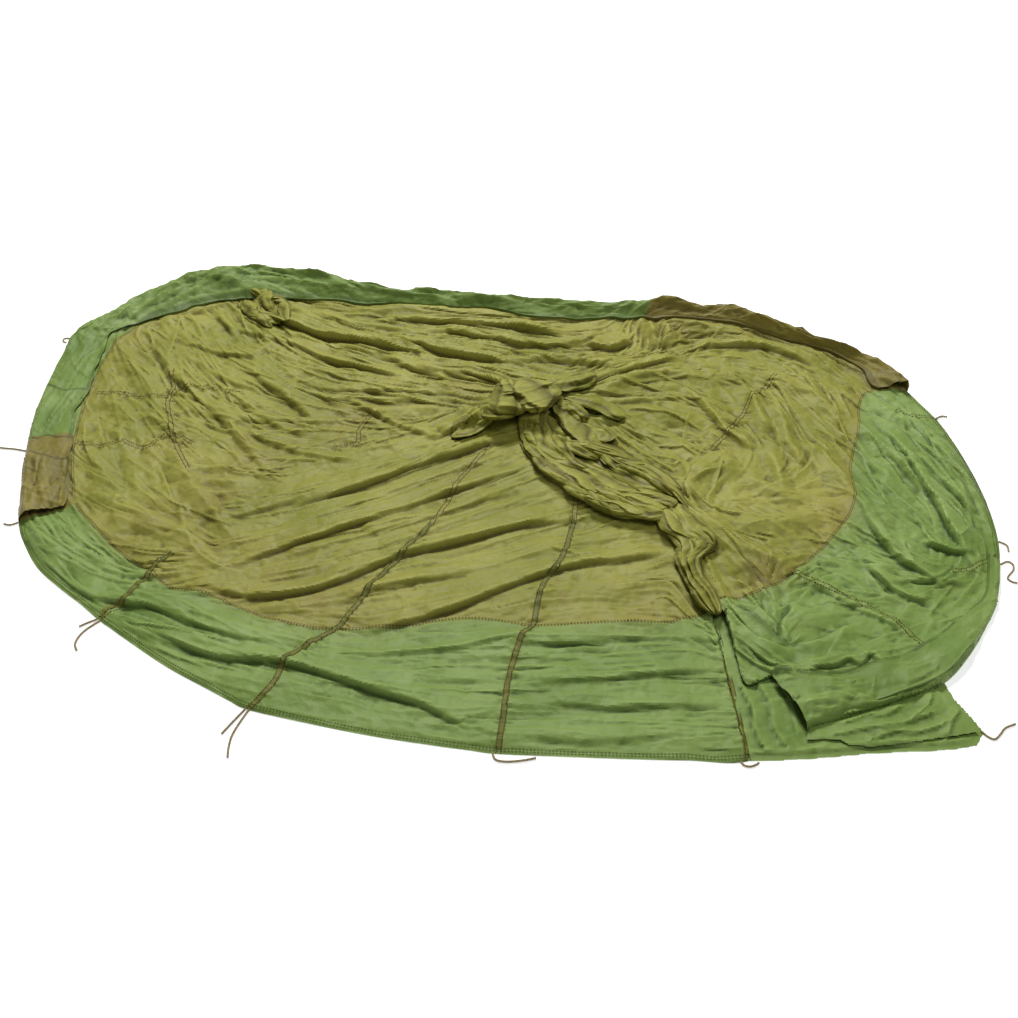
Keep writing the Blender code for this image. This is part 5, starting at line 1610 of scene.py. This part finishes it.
# The relaxation runs on every third grid point, and its result is spread onto the full grid.
COARSE = 3                  # grid steps between relaxed points
PASSES = 20
SPARE_SHARE = 0.6           # share of the cloth's spare length taken up
WINDOW = 3                  # half width of the square over which the large form is held
FIRST_PUSH = 0.03           # size of the first push, in coarse cells
SPARE_ACROSS = 0.014        # spare length across the creases
SPARE_ROUND = 0.006         # spare length every way, where cloth is crumpled
CLOTH_LOWEST = 0.0008       # lowest the relaxed cloth lies
CREASE_LOWEST = 0.0007      # lowest the finest creases reach
HEM_REACH = 0.045           # how far from the hem the cloth still lies flatter
CROWN_CUT = -0.12           # the crown is shown as two pieces, cut here
HEM_FLAT = ("skirt_01", "skirt_02", "skirt_03", "skirt_04", "skirt_07")     # their hem lies flat


def cloth_form(flat, live, shape):
    """Large form of the lying cloth: height and lean of its folds, long creases and slow swells."""
    folds = []
    for group, share in FOLD_SHARES:
        folds += [(share * height, left, right, line) for height, left, right, line in group]
    spots = waver(waver(flat[live], 0.15, 0.0060, 11), 0.05, 0.0016, 13)
    height, shift = fold_field(spots, folds, 0.18)
    long_facets = facet_field(*LONG_FACETS)
    calm = np.clip(1 - height / 0.05, 0.35, 1)
    swell = noise(flat[live, 0] / 0.12, flat[live, 1] / 0.12, 6)
    form = np.zeros((len(flat), 3))
    form[:, :2] = flat
    form[live, :2] += shift
    form[live, 2] = height
    mask = np.zeros(shape)
    mask.flat[live] = 1
    grid = np.moveaxis(form.reshape(shape + (3,)), -1, 0)
    smooth = np.moveaxis(blur(grid, mask, 1), 0, -1).reshape(-1, 3)
    form[live] = smooth[live]
    form[live, 2] += 0.0040 + 0.0020 * swell + calm * long_facets.ravel()[live]
    return form


def crease_field():
    """Narrow sharp creases that run with the flow, on the regular grid."""
    x, y = np.meshgrid(np.arange(*GRID_X, STEP), np.arange(*GRID_Y, STEP))
    spots = waver(np.stack([x, y], axis=-1).reshape(-1, 2), 0.06, 0.0012, 19)
    creases = streamed_creases(*SHARP_CREASES)
    return fold_field(spots, creases, 0.0, 4.0, 1.0, 1.0)[0].reshape(x.shape)


def fine_creases(points, flat, live, calm, sharp):
    """Crisp small facets laid on the relaxed cloth, along its own normals."""
    fine = facet_field(*FINE_FACETS)
    tiny = facet_field(*TINY_FACETS)
    way_x = np.gradient(points, axis=1)
    way_y = np.gradient(points, axis=0)
    normal = np.cross(way_x, way_y).reshape(-1, 3)
    normal /= np.linalg.norm(normal, axis=1)[:, None] + 1e-12
    out = points.reshape(-1, 3).copy()
    small = (fine + tiny).ravel()[live] + fold_field(flat[live], seam_puckers(), 0.0, 4.0, 1.0, 0.9)[0]
    small += sharp.ravel()[live]
    out[live] += normal[live] * (calm * small * np.clip(normal[live, 2], 0.3, 1))[:, None]
    out[:, 2] = np.maximum(out[:, 2], CREASE_LOWEST)
    return out.reshape(points.shape)


def hem_calm(flat):
    """1 inside the canopy, falling towards the outer hem, which lies flat on the floor."""
    reach = np.full(len(flat), 9.0)
    rims = panel_rims()[1]
    for name in HEM_FLAT:
        reach = np.minimum(reach, nearest_on(flat, rims[name][1][::2])[0])
    share = np.clip(reach / HEM_REACH, 0, 1)
    return share * (2 - share)


def first_push(flat, run):
    """Small uneven heights that tell the cloth where to buckle, longer along its creases."""
    along = flat[:, 0] * np.cos(run) + flat[:, 1] * np.sin(run)
    across = flat[:, 1] * np.cos(run) - flat[:, 0] * np.sin(run)
    cell = STEP * COARSE
    bands = noise(along / (8 * cell), across / (2.4 * cell), 50 + COARSE)
    grain = noise(flat[:, 0] / (3.1 * cell), flat[:, 1] / (3.1 * cell), 40 + COARSE)
    return FIRST_PUSH * cell * (bands + 0.6 * grain)


def flap_share(flat, flap):
    """1 where the front flap is held up by the panel tucked under it, 0 elsewhere."""
    share = inside(flat, flap) * np.clip((-0.27 - flat[:, 1]) / 0.07, 0, 1)
    return share * np.clip((0.88 - flat[:, 0]) / 0.08, 0, 1)


def buckled(form, mask, plan, tensor, floor, kick):
    """The relaxation, run on the coarse grid and spread onto the full one."""
    cut = (slice(None, None, COARSE),) * 2
    small = form[cut]
    moved = relax(small, mask[cut], plan[cut], tensor[cut] * SPARE_SHARE, floor[cut], kick[cut])
    gap = np.where(mask[cut][..., None], moved - small, 0)
    out = form + finer(gap, COARSE, mask.shape)
    out[..., 2] = np.maximum(out[..., 2], floor)
    return out


def lying_cloth(sharp):
    """The cloth on the floor as one relaxed grid: points, triangles, labels and mask."""
    regions, lines, corners = cloth_regions()
    plan, on_line = make_plan(lines, corners)
    tris = make_triangles(plan, on_line)
    label = label_triangles(plan, tris, regions)
    kept = label >= 0
    tris, label = tris[kept], label[kept]
    ny, nx = plan.shape[:2]
    flat = plan.reshape(-1, 2)
    mask = np.zeros(ny * nx, bool)
    mask[tris] = True
    live = np.where(mask)[0]
    form = cloth_form(flat, live, (ny, nx))
    calm = hem_calm(flat[live])
    form[live, 2] *= 0.12 + 0.88 * calm
    form[live, :2] = flat[live] + (form[live, :2] - flat[live]) * calm[:, None]
    lift = UNDER_FLAP * flap_share(flat, regions["skirt_06"])
    floor = (CLOTH_LOWEST + lift).reshape(ny, nx).astype(np.float32)
    form[:, 2] = np.maximum(form[:, 2], 0) + lift
    run, order, relief = np.zeros((3, len(flat)))
    run[live], order[live], relief[live] = flow_at(flat[live])
    tensor = crease_tensor(run, order, relief)
    tensor[live] *= calm[:, None]
    tensor = pucker_along(flat, tensor, SEAMS.values())
    mask = mask.reshape(ny, nx)
    kick = first_push(flat, run).reshape(ny, nx).astype(np.float32)
    shaped = buckled(form.reshape(ny, nx, 3), mask, plan, tensor.reshape(ny, nx, 3), floor, kick)
    shaped = fine_creases(shaped, flat, live, 0.2 + 0.8 * calm, sharp)
    tris = make_triangles(plan, on_line, shaped[..., 2])[kept]
    return shaped, tris, label, mask, regions, plan


VALLEY, CREASE = 8, 2       # half widths, in grid points, of the cloth that a point is compared with


def hollows(points, mask):
    """How far each point lies below the cloth round it, 0 to 1: broad valleys and narrow creases. It is the
    share of painted shade.
    """
    z = points[..., 2]
    broad = blur(z[None], mask.astype(float), VALLEY)[0] - z
    narrow = blur(z[None], mask.astype(float), CREASE)[0] - z
    return np.clip(0.6 * broad / 0.012 + 0.9 * narrow / 0.0017 - 0.18, 0, 1)


def crests(points, mask):
    """How far each point stands above the cloth close round it, 0 to 1. It is the share of painted highlight.
    """
    z = points[..., 2]
    rise = z - blur(z[None], mask.astype(float), CREASE)[0]
    return np.clip(rise / 0.0016 - 0.15, 0, 1)


def stains(flat):
    """Strength of the brownish stains at each point."""
    out = np.zeros(len(flat))
    for x, y, radius, strength in STAINS:
        away = np.hypot(flat[:, 0] - x, flat[:, 1] - y) / radius
        out = np.maximum(out, strength * np.exp(-away ** 2))
    return out * (0.6 + 0.4 * noise(flat[:, 0] / 0.03, flat[:, 1] / 0.03, 91))


def near_seams(flat, routes, reach=0.007):
    """1 on a sewn seam, falling to 0 beside it."""
    out = np.zeros(len(flat))
    for route in routes:
        line = spline(route, 4)
        near = close_by(flat, line, 0.04)
        best = nearest_on(flat[near], line)[0]
        out[near] = np.maximum(out[near], np.exp(-(best / reach) ** 2))
    return out


def cut_piece(points, tris, keep):
    """Points and faces of the kept triangles only."""
    used = np.unique(tris[keep])
    index = np.full(len(points), -1)
    index[used] = np.arange(len(used))
    return used, index[tris[keep]]


# Flat size stated for each piece of cloth: width, length, area, how it is held, what it lies on.
# The cut of the real panels isn't known: widths, lengths and areas follow the pieces as built here.
SHEETS = {
    "crown_cloth_left_sheet": (1.10, 1.25, 0.98, "laid", ()),
    "crown_cloth_right_sheet": (1.10, 1.25, 0.98, "laid", ()),
    "crown_gather_sheet": (0.90, 0.90, 0.80, "gathered",
                           ("crown_cloth_right_sheet", "crown_cloth_left_sheet")),
    "skirt_01_sheet": (0.38, 0.15, 0.047, "laid", ()),
    "skirt_02_sheet": (0.40, 0.20, 0.072, "laid", ()),
    "skirt_03_sheet": (0.45, 0.29, 0.115, "laid", ()),
    "skirt_04_sheet": (0.42, 0.33, 0.126, "laid", ()),
    "skirt_05_sheet": (0.45, 0.48, 0.170, "folded", ()),
    "skirt_06_sheet": (0.66, 0.38, 0.215, "laid", ("skirt_05_sheet",)),
    "skirt_07_sheet": (0.60, 0.25, 0.116, "laid", ()),
    "skirt_08_sheet": (0.68, 0.08, 0.032, "laid", ()),
    "skirt_09_sheet": (0.41, 0.06, 0.021, "laid", ()),
    "skirt_10_sheet": (0.41, 0.07, 0.025, "laid", ()),
    "skirt_11_sheet": (0.30, 0.10, 0.026, "laid", ()),
    "skirt_12_sheet": (0.45, 0.11, 0.039, "laid", ()),
    "skirt_13_sheet": (0.22, 0.12, 0.024, "laid", ()),
    "skirt_14_sheet": (0.23, 0.12, 0.024, "laid", ()),
    "skirt_15_sheet": (0.29, 0.12, 0.029, "laid", ()),
    "skirt_06_turned": (0.66, 0.13, 0.070, "folded", ("skirt_06_sheet",)),
    "skirt_08_turned": (0.70, 0.10, 0.062, "folded", ("skirt_08_sheet",)),
    "skirt_09_turned": (0.42, 0.10, 0.038, "folded", ("skirt_09_sheet",)),
    "skirt_10_turned": (0.41, 0.12, 0.043, "folded", ("skirt_10_sheet",)),
    "skirt_11_turned": (0.30, 0.16, 0.044, "folded", ("skirt_11_sheet",)),
    "skirt_12_turned": (0.45, 0.16, 0.060, "folded", ("skirt_12_sheet",)),
    "skirt_13_turned": (0.22, 0.15, 0.030, "folded", ("skirt_13_sheet",)),
    "skirt_14_turned": (0.23, 0.15, 0.031, "folded", ("skirt_14_sheet",)),
    "skirt_15_turned": (0.29, 0.15, 0.038, "folded", ("skirt_15_sheet",)),
    "seam_tape_1_ribbon": (0.013, 0.20, None, "laid", ("crown_cloth_left_sheet",)),
    "seam_tape_2_ribbon": (0.013, 0.57, None, "laid", ("crown_cloth_left_sheet",)),
    "seam_tape_3_ribbon": (0.013, 0.62, None, "laid", ("crown_cloth_right_sheet",)),
    "seam_tape_4_ribbon": (0.013, 0.22, None, "laid", ("skirt_04_sheet",)),
}


# Rows of stitches beside a seam: how far to the left of it, height above the cloth.
SEAM_ROWS = ((-.0042, .0042), .0012)
CROWN_ROWS = ((.0, .0040), .0010)
HEM_ROWS = ((.0055, .0105), .0009)
HEM_STITCH = (.0062, .0042, .0004)      # pitch, length and half width of a stitch


def declare_sheets(stitches):
    """Runs through the flat sizes listed for every piece of cloth and sets nothing. The stitches are not
    used.
    """
    for name, (width, length, area, held, under) in SHEETS.items():
        list(under)


def piece_look(name, looks):
    """Material and slot of a piece of cloth."""
    slot = "olive_cloth" if name == "crown_cloth" else "green_cloth"
    if name in BROWN_PANELS:
        slot = "brown_cloth"
    return looks[slot], slot


def marks(hollow, crest, soil=None):
    """Attributes that the cloth materials read: painted shade, stains and painted highlight."""
    return {"hollow": hollow, "soil": np.zeros(len(hollow)) if soil is None else soil, "crest": crest}


def add_lying_pieces(points, tris, label, mask, regions, plan, looks):
    """Crown and skirt panels, cut from the one grid."""
    flat = points.reshape(-1, 3)
    # Painted shade in the hollows and creases, painted highlights on the crests, and stains along the seams
    # and rim.
    hollow = hollows(points, mask).ravel()
    crest = crests(points, mask).ravel()
    laid = plan.reshape(-1, 2)
    rim = panel_rims()[0][::4]
    soil = np.clip(near_seams(laid, SEAMS.values()) * 0.5 + near_seams(laid, [rim], 0.004) * 0.35
                   + near_seams(laid, [rim], 0.03) * 0.22 + stains(laid), 0, 1)
    # Painted shade along the lines where folds close.
    for line, reach, strength in SHADES:
        hollow = np.maximum(hollow, strength * near_seams(laid, [line], reach))
    middle = laid[tris].mean(axis=1)[:, 0]
    for k, name in enumerate(regions):
        parts = [("_sheet", label == k)]
        if name == "crown_cloth":
            parts = [("_left_sheet", (label == k) & (middle < CROWN_CUT)),
                     ("_right_sheet", (label == k) & (middle >= CROWN_CUT))]
        for tail, keep in parts:
            used, faces = cut_piece(flat, tris, keep)
            obj = add_piece(name + tail, flat[used], faces, *piece_look(name, looks),
                            marks(hollow[used], crest[used], soil[used]))
            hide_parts(name)


def add_gather(top, relief, looks):
    """The gathered rolls and the knot."""
    spots, faces, dark, light = all_rolls(top, relief)
    obj = add_piece("crown_gather_sheet", spots, faces, *piece_look("crown_cloth", looks),
                    marks(dark, light))
    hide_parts("crown_cloth")


def add_bands(top, relief, looks):
    """The skirt turned back over the canopy, at the front right and from the back to the left."""
    bands = turned_bands(["skirt_06"], 401, top, relief)
    bands.update(turned_bands(["skirt_%02d" % k for k in range(8, 16)], 402, top, relief))
    for name, (spots, faces, dark, light) in bands.items():
        obj = add_piece(name + "_turned", spots, faces, *piece_look(name, looks), marks(dark, light))
        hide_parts(name)


def add_tucked(facets, looks):
    """The panel below the front flap, in two layers."""
    layers = [tucked_sheet(facets, *row) for row in TUCKED_SHEETS]
    spots, faces = joined([layer[:2] for layer in layers])
    dark, light = (np.concatenate([layer[k] for layer in layers]) for k in (2, 3))
    obj = add_piece("skirt_05_sheet", spots, faces, *piece_look("skirt_05", looks), marks(dark, light))
    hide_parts("skirt_05")


def add_seams(points):
    """Tapes and stitches on the cloth; gives back the stitches."""
    tape = plain_material("seam_tape")
    thread = plain_material("stitch_thread")
    for name, route in TAPES.items():
        obj = add_piece(name + "_ribbon", *seam_ribbon(points, route), tape, "seam_tape")
        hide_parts(name)
    crown, rims = panel_rims()
    rows = [stitch_rows(points, route, *SEAM_ROWS) for route in SEAMS.values()]
    rows.append(stitch_rows(points, crown[::4], *CROWN_ROWS, *HEM_STITCH))
    for name in HEM_FLAT:
        rows.append(stitch_rows(points, rims[name][1][::4], *HEM_ROWS, *HEM_STITCH))
    obj = add_piece("seam_stitches", *joined(rows), thread, "seam_tape")
    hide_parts("seam_tape_1", "seam_tape_2", "seam_tape_3", "seam_tape_4")
    return obj


def main():
    """Camera, line ends and floor, then the cloth from the floor up."""
    make_camera()
    make_cords()
    make_studio()
    looks = {name: cloth_material(name, colours, seed) for name, (colours, seed) in CLOTHS.items()}
    sharp = crease_field()
    points, tris, label, mask, regions, plan = lying_cloth(sharp)
    add_lying_pieces(points, tris, label, mask, regions, plan, looks)
    top = ground(points, mask)
    facets = facet_field(*LAID_FACETS)
    relief = facets + 0.6 * sharp
    add_gather(top, relief, looks)
    add_bands(top, relief, looks)
    add_tucked(facets, looks)
    declare_sheets(add_seams(points))


main()
